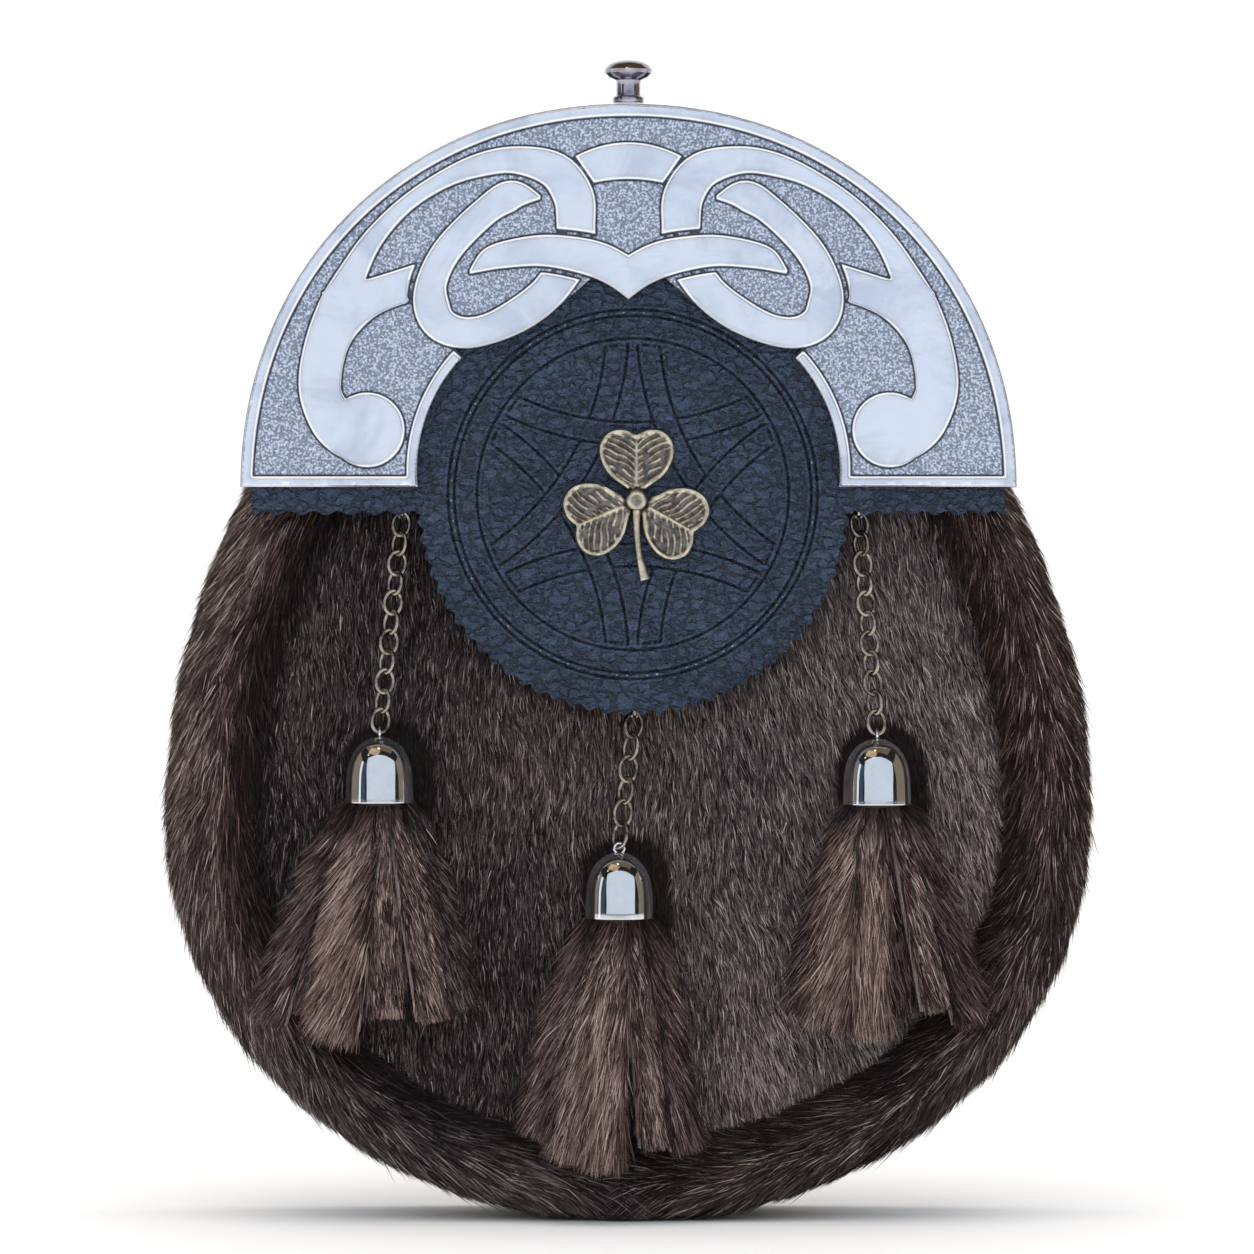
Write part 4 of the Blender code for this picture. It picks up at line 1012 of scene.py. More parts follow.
def tassel(side, hanger, count, seed, hide, surface):
    """Strips of hide that fan out of the bell, and the fur on them."""
    rng = np.random.default_rng(seed)
    rows = STRIPS[side]
    bodies = []
    packs = []
    steps = np.linspace(0, 1, STRIP_ROWS)
    for i, row in enumerate(rows):
        line, across, down, ahead, half = strip_line(hanger, i, len(rows), row)
        bodies.append(hide_strip(line, across, ahead, half, hide))
        tone, warmth, hair_length, lean, past, fan = row[5:]
        share = int(count / len(rows) * row[2] / 7.2)
        t = rng.uniform(0.0, 1.0, share) ** 0.9
        front = rng.random(share) < 0.86
        v = np.where(front, rng.uniform(-0.95, 0.95, share), rng.uniform(-0.85, 0.85, share))
        centre = between(t, steps, line)
        facing = np.where(front, 1.0, -1.0)[:, None]
        root = centre + across * (v * np.interp(t, steps, half))[:, None]
        root += ahead * facing * STRIP_HALF_THICKNESS
        normal = ahead * facing + across * (0.25 * v)[:, None]
        normal /= np.linalg.norm(normal, axis=1, keepdims=True)
        wave = wander(centre[:, 0], centre[:, 2], 3, seed + i)
        bend = lean * (1 - 0.35 * t) + fan * v + 0.16 * wave
        flow = down * np.cos(bend)[:, None] + across * np.sin(bend)[:, None] + rng.normal(0, 0.12, (share, 3))
        left = (1 - t) * np.linalg.norm(line[-1] - line[0])
        length = hair_length * rng.uniform(0.65, 1.15, share)
        length = np.maximum(np.minimum(length, left + past * rng.uniform(0.2, 1.0, share)), 0.8)
        lift = np.radians(rng.uniform(4, 11, share)) * (0.5 + 0.5 * t)
        width = rng.uniform(0.15, 0.29, share)
        streak = wander(centre[:, 0] + 9 * v, centre[:, 2] * 0.3, 2.0, seed + 9)
        shade = tone - 0.07 + 0.34 * rng.normal(size=share) + 0.30 * streak
        shade = np.where(rng.random(share) < 0.20, 0.74 + 0.25 * rng.random(share), shade)
        # painted shade: hair is painted darker under the bell, on the strips set back and along each strip's
        # edges
        shade -= 0.34 * (1 - step(0.0, 0.14, t)) + 0.18 * (row[3] < 0.7) + 0.34 * step(0.55, 1.0, np.abs(v))
        heat = warmth + 0.10 + 0.12 * rng.normal(size=share)
        packs.append((root, normal, flow, length, lift, width, shade, heat))
    root, normal, flow, length, lift, width, shade, heat = (np.concatenate(p) for p in zip(*packs))
    fur = hairs("tassel_%s_fur" % side, root, normal, flow, length, lift, width, shade, heat,
                surface, rng)
    head = turned("head", ((0.0, 4.0), (4.8, 3.6), (5.0, 1.0), (4.2, -0.4), (0.0, -0.8)),
                  hanger["bell"], 24, hide)
    paint(head, "cut", 0.0)
    return joined(bodies + [head], "tassel_%s_hide" % side), fur


# --- turned pieces, wires ---

def turned(name, profile, centre, steps, surface, angle=40.0):
    """A solid of revolution: rings round a vertical axis."""
    rings = []
    for radius, height in profile:
        circle = arc((0, 0), max(radius, 0.0), 0, 360, steps)[:-1]
        rings.append(np.column_stack([circle, np.full(steps, height)]) + centre)
    return rings_object(name, rings, surface, caps=False, angle=angle)


BELL_PROFILE = (
    (0.0, 1.0), (0.3, 0.97), (0.62, 0.86), (0.84, 0.68), (0.95, 0.45), (0.98, 0.15), (0.985, 0.02),
)


def bell(side, hanger, surface):
    """Bell with a rolled lip, hollow below, and the loop on its top."""
    outside = smooth_rows(BELL_PROFILE, 8) * (BELL_RADIUS, BELL_HEIGHT)
    lip = arc((0.985 * BELL_RADIUS - BELL_LIP, BELL_LIP), BELL_LIP, 0, -100, 5)
    inside = smooth_rows(BELL_PROFILE, 3)[::-1] * (BELL_RADIUS - 0.8, BELL_HEIGHT - 1.2)
    profile = np.vstack([outside, lip, inside])
    body = turned("bell", profile, hanger["bell"], 72, surface, 50)
    facing_front = hanger["links"] % 2 == 0
    path = ring_path(bell_loop(hanger), BELL_LOOP_RADIUS, facing_front, 28)
    return joined([body, wire("loop", path, 0.3, surface)], "bell_%s_body" % side)


def bell_loop(hanger):
    """Middle of the loop on top of a hanger's bell."""
    x, y, z = hanger["bell"]
    return np.array([x, y, z + BELL_HEIGHT + BELL_LOOP_RISE])


def ring_path(centre, radius, facing_front, steps):
    turn = np.linspace(0, 2 * np.pi, steps, endpoint=False)
    aside = radius * np.cos(turn)
    rise = radius * np.sin(turn)
    zero = np.zeros(steps)
    flat = (aside, zero, rise) if facing_front else (zero, aside, rise)
    return np.stack(flat, 1) + centre


def wire(name, path, radius, surface):
    """A closed round wire along a ring of points."""
    centre = path.mean(0)
    normal = np.cross(path - centre, np.roll(path, -1, 0) - centre).sum(0)
    normal /= np.linalg.norm(normal)
    outward = np.cross(unit(np.roll(path, -1, 0) - np.roll(path, 1, 0)), normal)
    turn = np.linspace(0, 2 * np.pi, 10, endpoint=False)
    rings = [p + radius * (np.outer(np.cos(turn), o) + np.outer(np.sin(turn), normal))
             for p, o in zip(path, outward)]
    return rings_object(name, rings, surface, closed=True, angle=60)


WIRE = 0.9
LINK_WIDTH = 4.5
LINK_TURNS = (-14.0, 42.0)


def chain(side, hanger, surface):
    """Interlocked oval links, each turned against the last."""
    eye = np.array(hanger["eye"])
    loop = bell_loop(hanger)
    direction = (loop - eye) / np.linalg.norm(loop - eye)
    top = eye - (0, 0, 1.5) - direction * 0.7
    bottom = loop + (0, 0, BELL_LOOP_RADIUS) + direction * 0.6
    pitch = np.linalg.norm(bottom - top) / hanger["links"]
    down = (bottom - top) / np.linalg.norm(bottom - top)
    first = np.cross(direction, (0, 1, 0))
    first /= np.linalg.norm(first)
    second = np.cross(direction, first)
    turn = np.linspace(0, 2 * np.pi, 30, endpoint=False)
    long_half = (pitch + WIRE - 0.06) / 2
    wide_half = (LINK_WIDTH - WIRE) / 2
    links = []
    for i in range(hanger["links"]):
        roll = math.radians(LINK_TURNS[i % 2])
        across = first * math.cos(roll) + second * math.sin(roll)
        centre = top + down * pitch * (i + 0.5)
        path = centre + np.outer(wide_half * np.cos(turn), across) + np.outer(long_half * np.sin(turn), down)
        links.append(wire("link", path, WIRE / 2, surface))
    return joined(links, "chain_%s_links" % side)


# --- flap ---

def waved_edge(start, end, first):
    """Lower edge of a side strip: points from the first on, eight to a wave."""
    width = (end - start) / STRIP_WAVES
    return [(start + width * i / 8, STRIP_EDGE_Z - STRIP_WAVE * math.cos(2 * math.pi * i / 8))
            for i in range(first, STRIP_WAVES * 8 + first)]


def pinked_edge():
    """Lower edge of the flap from left to right: strip, tongue with its teeth, strip."""
    cx, cz = TONGUE_CENTRE
    left = waved_edge(-FLAP_RADIUS, cx - TONGUE_RADIUS + 1.0, 0)
    start = 180 + math.degrees(math.asin((cz - STRIP_EDGE_Z) / TONGUE_RADIUS))
    sweep = 540 - 2 * start
    teeth = round(math.radians(sweep) * TONGUE_RADIUS / TONGUE_PITCH)
    tongue = []
    for i in range(8 * teeth + 1):
        wave = 1 - 4 * abs((i / 8) % 1 - 0.5)
        radius = TONGUE_RADIUS - TONGUE_TOOTH * 1.15 * max(-0.8, min(0.8, -wave))
        turn = math.radians(start + sweep * i / (8 * teeth))
        tongue.append((cx + radius * math.cos(turn), cz + radius * math.sin(turn)))
    right = waved_edge(cx + TONGUE_RADIUS - 1.0, FLAP_RADIUS, 1)
    return np.array(left + tongue + right)


def band_centre(k):
    """Middle of the circle on which band k of the star lies."""
    axis = math.radians(30 + 60 * (k % 6))
    return np.array(TOOL_CENTRE) + STAR_REACH * np.array([math.cos(axis), math.sin(axis)])


def in_band(points, k):
    """How far inside the ribbon of band k points lie; negative outside."""
    return STAR_HALF - np.abs(np.linalg.norm(points - band_centre(k), axis=1) - STAR_ARC)


def kept_runs(line, keep):
    """The stretches of a line whose points are kept."""
    runs = np.split(np.arange(len(line)), np.where(np.diff(keep.astype(int)) != 0)[0] + 1)
    return [line[run] for run in runs if keep[run[0]] and len(run) > 2]


def tooled_lines():
    """All tooled lines of the tongue, each a polyline that shows over its whole length."""
    shown = [arc(TOOL_CENTRE, radius, 0, 360, 240) for radius in TOOL_CIRCLES]
    for k in range(6):
        toward = 180 + 30 + 60 * k
        for half in (-STAR_HALF, STAR_HALF):
            line = arc(band_centre(k), STAR_ARC + half, toward - 33, toward + 33, 90)
            reach = np.hypot(*(line - TOOL_CENTRE).T)
            shown += kept_runs(line, (reach < STAR_END) & (in_band(line, k - 1) < 0.02))
    circle = arc(TOOL_CENTRE, STAR_END, 0, 360, 720)
    for k in range(6):
        shown += kept_runs(circle, in_band(circle, k) > -0.05)
    return shown


def make_flap(surface, cantle_line):
    """Tooled leather front, the strip that bends over the mouth, and the ring of dashes."""
    outline = np.vstack([pinked_edge(), arc((0.0, ARCH_Z), FLAP_RADIUS, 0, 180, 90)])
    lines = tooled_lines()
    rows = [beside(line, (-0.85, -0.50, -0.24, 0.0, 0.24, 0.50, 0.85), 0.8) for line in lines]
    rows.append(beside(outline, (0.25, 0.7, -0.25, -0.7), 0.8, True))
    cx, cz = TONGUE_CENTRE
    grid = hexagons((cx - 46, cz - 46), (cx + 46, cz + 46), 1.25)
    grid = grid[np.hypot(*(grid - (cx, cz)).T) < 46]
    grid = grid[np.min([line_distance(grid, line) for line in lines], axis=0) > 1.1]
    wide = hexagons((-79, 147), (79, 232), 4.0)
    wide = wide[np.hypot(*(wide - (cx, cz)).T) > 47]
    low = hexagons((-79, 147), (79, 153), 1.3)
    low = low[np.hypot(*(low - (cx, cz)).T) > 46]
    inner = np.vstack(rows + [grid, wide, low])

    @remembered
    def depth(points):
        """Distance to the nearest tooled line."""
        best = np.full(len(points), 9.0)
        for line in lines:
            middle = (line.min(0) + line.max(0)) / 2
            near = (np.abs(points - middle) < np.ptp(line, axis=0) / 2 + 2.5).all(1)
            if near.any():
                best[near] = np.minimum(best[near], line_distance(points[near], line))
        return best

    def height(points):
        away = depth(points)
        x, z = points.T
        rise = -0.30 * np.exp(-(away / 0.25) ** 2) + 0.09 * np.exp(-((away - 0.55) / 0.22) ** 2)
        rise += 0.10 * wander(x, z, 9, 3) + 0.07 * wander(x, z, 3.2, 4)
        edge = signed_distance(points, outline)
        rise -= 0.28 * (1 - step(0.0, 0.7, edge))
        under = step(-1.0, 1.0, signed_distance(points, cantle_line))
        return rise * (1 - 0.85 * under)

    def near_line(points):
        return np.minimum(depth(points), 2.0)

    def plain(points):
        return np.zeros(len(points))

    front = relief("flap_front", outline, inner, height, FLAP_FRONT_Y, FLAP_BACK_Y, surface,
                   (("groove", near_line), ("scuff", plain)))
    bridge = flap_bridge(surface)
    ring = arc(TOOL_CENTRE, sum(TOOL_CIRCLES[1:]) / 2, 0, 360, 240)[:-1]
    dashes = stitches("dashes", ring, FLAP_FRONT_Y - 0.02, 2.1, surface, 0.42, 1.6, -1.0)
    paint(dashes, "groove", 2.0)
    glint = lattice(np.arange(len(dashes.data.vertices)) // 30, 3.0, 5)
    paint(dashes, "scuff", step(-0.4, 0.6, glint))
    return joined([front, bridge, dashes], "flap_leather")


def band_of_leather(name, line, half, thick, columns, surface, centre=0.0):
    """A strap with rounded edges that follows a line of Y and Z."""
    profile = []
    for sign in (1, -1):
        for x in np.linspace(-1, 1, columns) * sign:
            profile.append((centre + x * (half - 0.4), thick * sign))
        profile.append((centre + half * sign, 0.0))
    rings = [[(x, y + sy * t, z + sz * t) for x, t in profile]
             for (y, z), (sy, sz) in zip(line, sideways(line))]
    return rings_object(name, rings, surface, angle=50)


def flap_bridge(surface):
    """The strip that bends over the mouth and down the back."""
    front_y = (FLAP_FRONT_Y + FLAP_BACK_Y) / 2
    top_z = MOUTH_TOP_Z - STRAP_HALF
    line = np.vstack([
        [(front_y, 206.0)],
        arc((front_y + 7, top_z - 7), 7, 180, 90, 14),
        arc((STRAP_BACK_Y - 3, top_z - 3), 3, 90, 0, 10),
        [(STRAP_BACK_Y, z) for z in (210.0, 202.0, 194.0, 186.3)],
    ])
    item = band_of_leather("bridge", line, 28.0, 1.0, 9, surface)
    paint(item, "groove", 2.0)
    paint(item, "scuff", 0.0)
    return item


# --- cantle ---

def leg_edge(radius, low_z):
    """Edge of the right leg, from that height up."""
    start = math.degrees(math.asin((low_z - LEG_CENTRE[1]) / radius))
    return arc(LEG_CENTRE, radius, start, LEG_TOP_ANGLE, 24)


def arch(inset, low_z, steps):
    """Full-shouldered arch, that far inside the cantle's edge, from that height on the right to the left."""
    half, rise = CANTLE_HALF_WIDTH - inset, CANTLE_RISE - inset
    low = math.asin(max((low_z - ARCH_Z) / rise, 0) ** (ARCH_POWER / 2))
    turn = np.linspace(low, math.pi - low, steps + 1)
    across = np.sign(np.cos(turn)) * np.abs(np.cos(turn)) ** (2 / ARCH_POWER)
    return np.stack([half * across, ARCH_Z + rise * np.sin(turn).clip(0) ** (2 / ARCH_POWER)], 1)


def cross_edges():
    """Lower and upper edge of the band across the knot."""
    half = smooth_rows(CROSS_BAND, 6)
    lower, upper = half[:, :2], half[:, [0, 2]]
    return np.vstack([mirrored(lower)[:-1], lower]), np.vstack([mirrored(upper)[:-1], upper])


def loop_lower_edge():
    """The part of the inner loop's outline that borders the flap, left half, from the leg to the cross."""
    edges = band_edges(INNER_LOOP)
    middle = len(edges[0]) * 2 // 3
    return min(edges, key=lambda edge: edge[middle][1])[middle - 3:-8]


def cantle_outline():
    """Arch, feet, legs and, below the knot, the lower edges of its bands."""
    leg = leg_edge(LEG_RADIUS, FOOT_Z)
    lower = cross_edges()[0]
    under_cross = lower[(lower[:, 0] > -8.5) & (lower[:, 0] < -0.2)]
    left = np.vstack([mirrored(leg)[::-1], loop_lower_edge(), under_cross])
    middle = np.array([(0.0, CROSS_BAND[0][1])])
    return np.vstack([arch(0.12, FOOT_Z, 180), left, middle, mirrored(left)])


def rim_loop():
    """Outline of the raised rim; its outer side lies beyond the plate."""
    foot_top = FOOT_Z + LEG_RIM
    outer = arch(-1.0, FOOT_Z, 120)
    inner = arch(CANTLE_RIM, foot_top, 120)[::-1]
    leg = leg_edge(LEG_RADIUS - 0.5, FOOT_Z)
    leg_inner = leg_edge(LEG_RADIUS + LEG_RIM, foot_top)
    leg[0] = (leg[0][0], FOOT_Z - 1)
    outer[0] = (CANTLE_HALF_WIDTH + 1, FOOT_Z - 1)
    outer[-1] = (-CANTLE_HALF_WIDTH - 1, FOOT_Z - 1)
    return np.vstack([leg[::-1], outer, mirrored(leg[::-1]), mirrored(leg_inner), inner, leg_inner])


def keystone():
    shapes = []
    for half, end, middle in KEYSTONE:
        share = np.linspace(1, -1, 25)
        shapes.append(np.stack([half * share, middle + (end - middle) * share ** 2], 1))
    return np.vstack([shapes[0], shapes[1][::-1]])


def make_cantle(surface, outline):
    """Cast plate with raised, bevelled bands on a stippled ground."""
    outer = ribbon(OUTER_BAND)
    loop = ribbon(INNER_LOOP)
    prong = ribbon(OUTER_PRONG)
    bend = ribbon(OUTER_BEND)
    lobe = arc(OUTER_LOBE[0], OUTER_LOBE[1], 0, 352, 44)
    lower, upper = cross_edges()
    cross = np.vstack([lower, upper[::-1]])
    key = keystone()
    rim = rim_loop()

    @remembered
    def raised(points):
        """How far inside a raised band points lie; negative on the ground."""
        flipped = np.where(points[:, :1] > 0, -points[:, :1], points[:, :1])
        left = np.hstack([flipped, points[:, 1:]])
        across = signed_distance(points, cross)
        inner = signed_distance(left, loop)
        frame_rim = signed_distance(points, rim)
        tail = np.minimum(signed_distance(left, prong), -inner - BAND_GAP)
        big = merged(signed_distance(left, outer), signed_distance(left, lobe), tail,
                     signed_distance(left, bend))
        big = np.minimum(big, -frame_rim - RIM_GAP)
        bands = np.minimum(np.maximum(big, inner), -across - BAND_GAP)
        frame_rim = np.minimum(frame_rim, -inner - RIM_GAP)
        return np.maximum.reduce([bands, across, signed_distance(points, key), frame_rim])

    def height(points):
        away = raised(points)
        low, middle, high = BEVEL
        rise = 0.55 * np.clip(away / low, 0, 1) + 0.12 * step(low, middle, away)
        rise += 0.20 * step(middle, high, away)
        rise -= 0.16 * step(-0.5, -0.15, away) * (1 - step(-0.15, 0.0, away))
        speckle = lattice(np.round(points[:, 0] * 7), np.round(points[:, 1] * 7), 5)
        rise += 0.05 * speckle * (away < -0.6)
        edge = signed_distance(points, outline)
        return rise - 0.35 * (1 - step(0.0, 0.45, edge))

    def away_note(points):
        return np.clip(raised(points), -0.9, 1.4)

    levels = (-0.5, -0.15, 0.0, *BEVEL, 0.95)
    ridges = contours(raised, (-80.3, 152.2), (80.5, 233.2), 0.42, levels)
    grid = hexagons((-80, 152), (80, 233), 0.95)
    x, z = grid.T
    grid = grid + 0.2 * np.stack([lattice(x * 3, z * 5, 1), lattice(x * 5, z * 3, 2)], 1)
    grid = grid[(raised(grid) < -0.75) | (raised(grid) > 1.3)]
    border = beside(outline, (0.12, 0.3, 0.5), 0.8, True)
    inner = np.vstack([grid, border])
    plate = relief("plate", outline, inner, height, CANTLE_FACE_Y, CANTLE_BACK_Y, surface,
                   (("away", away_note),), 22, ridges)
    wall = return_wall(surface)
    return joined([plate, wall], "cantle_cast")


def return_wall(surface):
    """Wall behind the arch, rounded where it meets the rim."""
    profile = ((0.3, -31.9), (0.15, -31.8), (0.05, -31.6), (0.0, -31.3), (0.0, -28.0), (0.0, -24.9),
               (0.2, -24.55), (1.2, -24.55), (1.5, -24.9), (1.5, -29.6), (0.6, -31.2))
    paths = [arch(inset, FOOT_Z, 180) for inset, _ in profile]
    rings = [[(path[k, 0], y, path[k, 1]) for path, (_, y) in zip(paths, profile)] for k in range(181)]
    item = rings_object("wall", rings, surface, angle=50)
    paint(item, "away", 2.0)
    return item


KNOB_PROFILE = (
    (0.0, 8.9), (1.7, 8.84), (3.2, 8.5), (4.4, 7.8), (4.97, 6.95), (4.85, 6.2), (4.1, 5.45), (3.0, 4.95),
    (2.6, 4.75), (2.5, 4.4), (2.5, 1.9), (2.6, 1.55), (3.1, 1.3), (3.3, 0.95), (3.3, 0.35), (3.1, 0.0),
    (0.0, 0.0),
)


def make_knob(surface):
    centre = (0.0, KNOB_Y, ARCH_Z + CANTLE_RISE + GAP)
    return turned("cantle_finial", KNOB_PROFILE, centre, 64, surface, 35)


# --- badge ---

def leaf_loop():
    half = smooth_rows(LEAF_EDGE, 3)
    return np.vstack([half, (half * (1, -1))[::-1][1:]])


def make_badge(surface):
    """Three veined leaves, boss and stem, cast in one."""
    back = FLAP_FRONT_Y - 0.3
    loop = leaf_loop()
    pieces = []
    for angle in LEAF_ANGLES:
        turn = math.radians(angle)
        matrix = np.array([(math.cos(turn), -math.sin(turn)), (math.sin(turn), math.cos(turn))])
        placed = loop @ matrix.T + BADGE_CENTRE

        def local(points, matrix=matrix):
            return (points - BADGE_CENTRE) @ matrix

        def veins(points, local=local):
            u, v = local(points).T
            v = np.abs(v)
            side = local(points)[:, 1]
            along = u - 0.72 * v + 0.030 * v * v + 0.42 * wander(u, side, 2.3, 4)
            off = (along / VEIN_PITCH - np.round(along / VEIN_PITCH)) * VEIN_PITCH * 0.80
            broken = step(-0.75, -0.25, wander(u * 0.8, side, 1.9, 9))
            vein = np.exp(-(off / 0.27) ** 2) * broken * (along > 0.8) * (along < 13.0)
            midrib = np.exp(-(v / (0.62 - 0.02 * u)) ** 2)
            border = 1 - step(0.95, 1.45, signed_distance(np.stack([u, side], 1), loop))
            clear = step(BOSS_RADIUS + 0.15, BOSS_RADIUS + 0.9, np.hypot(u, side))
            return np.maximum.reduce([0.66 * vein, 0.95 * midrib, border]) * clear

        def height(points, veins=veins, placed=placed):
            edge = signed_distance(points, placed)
            rise = 0.75 + 0.75 * veins(points)
            rise += 0.05 * wander(points[:, 0], points[:, 1], 0.8, 6)
            return rise - 0.75 * (1 - step(0.0, 0.55, edge)) ** 2

        low, high = placed.min(0), placed.max(0)
        border = beside(placed, (0.15, 0.35, 0.85, 1.25), 0.4, True)
        grid = hexagons(low, high, 0.27)
        inner = np.vstack([border, grid[signed_distance(grid, placed) > 1.3]])
        pieces.append(relief("leaf", placed, inner, height, back, back + 0.02, surface, (("raised", veins),)))
    rings = []
    for radius, out, _ in BOSS:
        circle = arc(BADGE_CENTRE, radius, 0, 360, 32)[:-1]
        rings.append(np.stack([circle[:, 0], np.full(32, back - out), circle[:, 1]], 1))
    dome = rings_object("boss", rings, surface, caps=False)
    reach = np.array([np.hypot(v.co.x / MM - BADGE_CENTRE[0], v.co.z / MM - BADGE_CENTRE[1])
                      for v in dome.data.vertices])
    radii, outs, shine = np.array(BOSS).T
    shine = np.interp(reach, radii[:-1], shine[:-1])
    low = np.array([v.co.y / MM > back - 1.5 for v in dome.data.vertices])
    paint(dome, "raised", np.where(low, 0.0, shine))
    pieces.append(dome)
    pieces.append(badge_stem(back, surface))
    return joined(pieces, "badge_cast")


def badge_stem(back, surface):
    """Curved stem of the shamrock, round in front and flat behind."""
    line = smooth_rows(STEM, 8)
    section = [(0.64 * math.cos(turn), -0.35 - 1.05 * math.sin(turn))
               for turn in np.radians(np.linspace(0, 180, 9))] + [(-0.5, 0.0), (0.5, 0.0)]
    cx, cz = BADGE_CENTRE
    rings = [[(cx + x + sx * width * off, back + out, cz + z + sz * width * off) for off, out in section]
             for (x, z, width), (sx, sz) in zip(line, sideways(line[:, :2]))]
    stem = rings_object("stem", rings, surface, angle=60)
    paint(stem, "raised", 0.85)
    return stem


# --- back ---

def back_outline(inset=0.0):
    turn = np.linspace(0, 90, 40)
    x, z, _, _ = egg(turn, 6.0 + inset)
    right = list(zip(x, z))
    for z in np.linspace(95, 140, 10):
        right.append((float(egg_half_width(z, 6.0 + inset)), z))
    top = 223.0 - 2.1 - 1.5 - 0.3 - inset
    for x, z in arc((0.0, ARCH_Z), 70.5 - inset, 6, 73, 40):
        right.append((x, min(z, top)))
    right = np.array(right)
    return np.vstack([right, mirrored(right[1:])])


def make_back(surface, thread):
    """Leather back with a turned edge and a row of stitches round it."""
    outline = back_outline()
    stitch_line = back_outline(5.0)
    grid = hexagons((-93, 3), (93, 221), 5.0)
    inner = np.vstack([grid, beside(outline, (0.3, 0.8, -0.3, -0.8), 2.0, True),
                       beside(stitch_line, (-0.9, -0.4, 0.0, 0.4, 0.9), 2.0, True)])

    def height(points):
        edge = signed_distance(points, outline)
        rise = -0.45 * (1 - step(0.0, 0.8, edge)) ** 2
        rise -= 0.30 * np.exp(-(line_distance(points, stitch_line, True) / 0.5) ** 2)
        return rise + 0.05 * wander(points[:, 0], points[:, 1], 12, 2)

    panel = relief("panel", outline * (-1, 1), inner * (-1, 1), lambda p: height(p * (-1, 1)),
                   -BACK_OUTER_Y, -BACK_INNER_Y, surface)
    panel.data.transform(Matrix.Rotation(math.pi, 4, "Z"))
    panel.name = "back_panel"
    return panel, stitches("back_stitches", stitch_line, BACK_OUTER_Y - 0.12, 4.2, thread)


def stitches(name, line, y, pitch, surface, size=1.0, rest=0.9, out=1.0):
    """Short rounded stitches along a closed line, rest apart; out is 1 on a back face and -1 on a front."""
    line = np.vstack([line, line[:1]])
    run = run_along(line)
    stations = ((0.0, 0.05), (0.12, 0.8), (0.5, 1.0), (0.88, 0.8), (1.0, 0.05))
    points, corners, sizes = [], [], []
    for i in range(int(run[-1] / pitch)):
        ends = between([i * pitch, (i + 1) * pitch - rest], run, line)
        way = (ends[1] - ends[0]) / np.linalg.norm(ends[1] - ends[0])
        side = np.array([-way[1], way[0]])
        base = len(points)
        for share, wide in stations:
            middle = ends[0] + (ends[1] - ends[0]) * share
            for turn in np.arange(6) * math.pi / 3:
                spot = middle + side * 0.34 * size * wide * math.cos(turn)
                points.append((spot[0], y + out * size * wide * (0.28 * math.sin(turn) + 0.12), spot[1]))
        for s in range(len(stations) - 1):
            for k in range(6):
                j = (k + 1) % 6
                corners += [base + 6 * s + k, base + 6 * s + j, base + 6 * s + 6 + j, base + 6 * s + 6 + k]
                sizes.append(4)
        last = base + 6 * (len(stations) - 1)
        corners += [base + k for k in range(6)][::-1] + [last + k for k in range(6)]
        sizes += [6, 6]
    item = new_object(name, np.array(points), corners, sizes, surface)
    set_outward(item)
    return item


def make_loops(surface, thread):
    """Two belt loops with rounded edges and stitched feet."""
    foot = STRAP_BACK_Y
    top = foot + 6.0
    rows = ((foot, 133.2), (foot, 138.0), (foot, 141.0), (foot + 0.9, 143.2), (foot + 3.6, 145.5),
            (top - 0.7, 147.0), (top, 149.0), (top, 161.5), (top, 174.0), (top - 0.7, 176.0),
            (foot + 3.6, 177.6), (foot + 0.9, 179.9), (foot, 182.0), (foot, 185.5), (foot, 189.8))
    line = smooth_rows(rows, 4)
    made = {}
    for name, centre in (("left", -42.0), ("right", 42.0)):
        strap = band_of_leather("belt_loop_%s_strap" % name, line, 11.0, 0.98, 5, surface, centre)
        boxes = []
        for low, high in ((134.6, 140.2), (182.8, 188.4)):
            left, right = centre - 9.2, centre + 9.2
            box = np.array([(left, low), (right, low), (right, high), (left, high)])
            boxes.append(stitches("box", box, foot + 0.96, 3.0, thread))
        made[name] = (strap, joined(boxes, "belt_loop_%s_stitches" % name))
    return made


# --- set ---

def area_light(name, place, aim, size, radiance, colour, mirrored_too=True):
    data = bpy.data.lights.new(name, "AREA")
    data.shape = "RECTANGLE"
    data.size, data.size_y = size
    data.energy = radiance * math.pi * size[0] * size[1]
    data.color = colour
    item = linked(name, data)
    item.location = place
    item.rotation_euler = (Vector(aim) - Vector(place)).to_track_quat("-Z", "Y").to_euler()
    item.visible_camera = False
    item.visible_glossy = mirrored_too


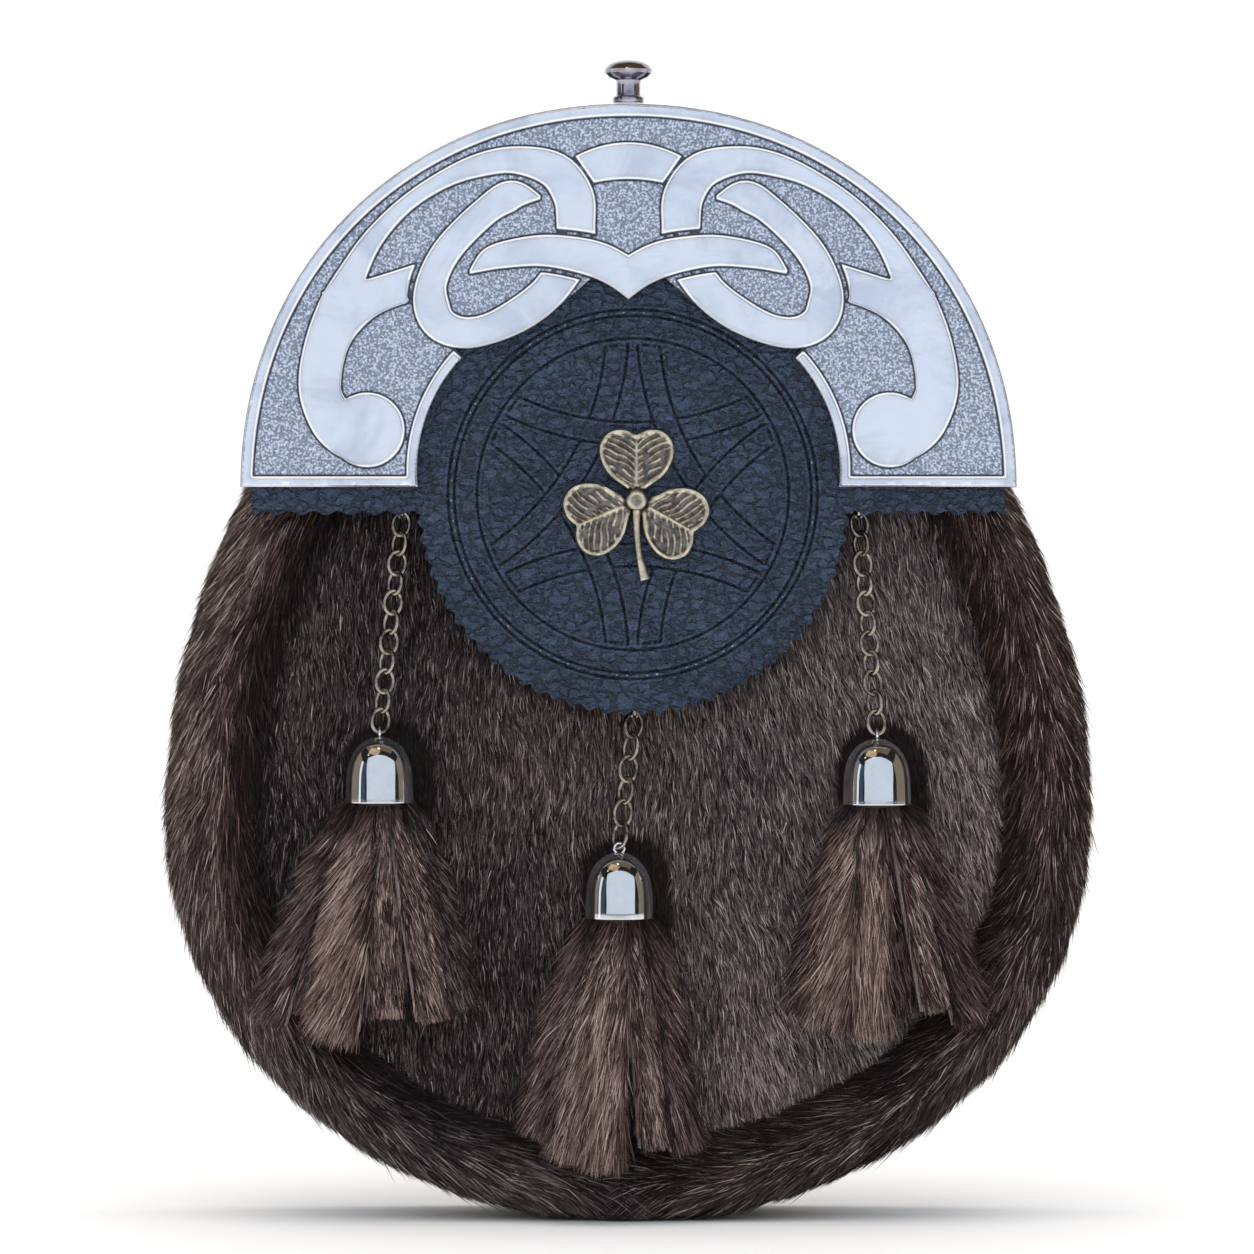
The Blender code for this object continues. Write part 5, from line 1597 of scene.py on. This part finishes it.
def light_set():
    """A wide window in front, a strip and a dark pane beside it, gold walls, amber ceiling and shelf.

    Two white lights that no metal mirrors brighten the part and the backdrop, and two small lamps
    give the metal its sparks.
    """
    target = (0.0, -0.03, 0.12)
    blue = (0.80, 0.89, 1.0)
    amber = (1.0, 0.70, 0.42)
    white = (1.0, 1.0, 1.0)
    gold = (1.0, 0.80, 0.56)
    area_light("window", (0.42, -1.65, 0.95), (0.42, 0.0, 0.40), (4.5, 1.9), 0.88, blue)
    area_light("side_window", (-1.89, -0.68, 0.45), target, (0.30, 1.3), 1.1, blue)
    area_light("dark_pane", (-1.78, -1.14, 0.5), target, (0.58, 1.3), 0.09, (0.42, 0.62, 1.0))
    area_light("left_wall", (-1.9, 0.90, 0.6), target, (3.4, 1.9), 0.24, gold)
    area_light("right_wall", (1.9, 0.75, 0.6), target, (4.0, 1.9), 0.22, gold)
    area_light("ceiling", (0.0, 0.1, 2.1), target, (3.0, 2.0), 0.15, amber)
    area_light("shelf", (-0.60, -0.80, 1.85), target, (1.2, 0.7), 0.50, amber)
    area_light("top_box", (0.0, -0.35, 1.6), (0.0, 0.0, 0.1), (1.5, 1.2), 1.6, white, False)
    area_light("back_wash", (0.0, 0.7, 2.3), (0.0, 2.6, 0.8), (3.5, 1.0), 2.6, white, False)
    area_light("lamp_left", (-0.93, -0.55, 1.17), target, (0.10, 0.07), 3.0, (1.0, 0.60, 0.26))
    area_light("lamp_middle", (-0.12, -0.40, 1.55), target, (0.16, 0.12), 5.0, (1.0, 0.60, 0.26))
    world = bpy.data.worlds.new("studio")
    world.use_nodes = True
    background = world.node_tree.nodes["Background"]
    background.inputs["Color"].default_value = (1.0, 1.0, 1.0, 1.0)
    background.inputs["Strength"].default_value = 0.55
    world.cycles_visibility.glossy = False
    bpy.context.scene.world = world


def make_floor():
    """White floor that curves up behind into a backdrop."""
    bend = 1.2
    path = [(-3.0, 0.0)] + [(1.6 + bend * math.sin(t), bend - bend * math.cos(t))
                            for t in np.radians(np.linspace(0, 90, 16))] + [(1.6 + bend, 4.5)]
    points = [(x, y, z) for y, z in path for x in (-4.0, 4.0)]
    faces = [(2 * i, 2 * i + 1, 2 * i + 3, 2 * i + 2) for i in range(len(path) - 1)]
    mesh = bpy.data.meshes.new("floor")
    mesh.from_pydata(points, [], faces)
    mesh.materials.append(floor_look())
    mesh.shade_smooth()
    linked("floor", mesh)


def make_camera():
    data = bpy.data.cameras.new("camera")
    data.lens = 200.0
    data.sensor_width = 36.0
    camera = linked("camera", data)
    camera.location = (-0.0003, -0.0311 - 1.4456, 0.1243)
    camera.rotation_euler = (math.radians(90), 0, 0)
    bpy.context.scene.camera = camera


def settle(piece, slot, *nodes):
    """Ride on the body and take the place of the CAD nodes; the finish given as slot is not used."""
    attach(piece, "root")
    if nodes:
        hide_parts(*nodes)


def main():
    pewter = pewter_look()
    flap_leather = leather_look("tooled_leather", (0.037, 0.061, 0.109), (0.021, 0.036, 0.068), 0.5)
    back_leather = plain_leather_look("back_leather", (0.040, 0.041, 0.046), (0.020, 0.021, 0.025))
    steel = metal_look("gunmetal", (0.77, 0.79, 0.83), (0.73, 0.73, 0.75), 0.06, metallic=0.98)
    links = metal_look("antique_nickel", (0.46, 0.405, 0.345), (0.05, 0.042, 0.036), 0.2, 380.0)
    finial = metal_look("dark_nickel", (0.50, 0.48, 0.56), (0.20, 0.18, 0.23), 0.13, 330.0)
    bronze = bronze_look()
    hair = fur_look()
    underfur = underfur_look()
    hide = hide_look()
    thread = thread_look()

    settle(gusset_skin(underfur), "long_fur", "pouch_gusset")
    settle(panel_skin(underfur), "short_fur", "pouch_front")
    for i, (name, side) in enumerate((("left", -1), ("right", 1))):
        roll = rim_fur("roll_fur_" + name, side, (0.62, 1.0), 76000, 11 + i, hair)
        wall = rim_fur("wall_fur_" + name, side, (0.0, 0.62), 28000, 31 + i, hair)
        settle(roll, "long_fur", "pouch_gusset")
        settle(wall, "long_fur", "pouch_gusset")
    settle(panel_fur("panel_fur", 98000, 13, hair), "short_fur", "pouch_front")

    cantle_line = cantle_outline()
    settle(make_flap(flap_leather, cantle_line), "flap_leather", "flap")
    settle(make_cantle(pewter, cantle_line), "pewter", "cantle")
    settle(make_knob(finial), "pewter", "cantle_knob")
    settle(make_badge(bronze), "bronze", "shamrock_badge")

    for i, (side, hanger) in enumerate(HANGERS.items()):
        settle(chain(side, hanger, links), "nickel", "chain_" + side)
        settle(bell(side, hanger, steel), "nickel", "bell_" + side)
        strips, fur = tassel(side, hanger, 20000, 21 + i, hide, hair)
        settle(strips, "tassel_fur", "tassel_" + side)
        settle(fur, "tassel_fur", "tassel_" + side)
        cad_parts["chain_eye_" + side].material_slots[0].material = links
    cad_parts["flap_stud"].material_slots[0].material = steel

    panel, seam = make_back(back_leather, thread)
    settle(panel, "back_leather", "pouch_back")
    settle(seam, "back_leather")
    for side, (strap, seam) in make_loops(back_leather, thread).items():
        settle(strap, "back_leather", "belt_loop_" + side)
        settle(seam, "back_leather")

    make_floor()
    light_set()
    make_camera()
    view = bpy.context.scene.view_settings
    view.view_transform = "Standard"
    view.look = "None"


main()
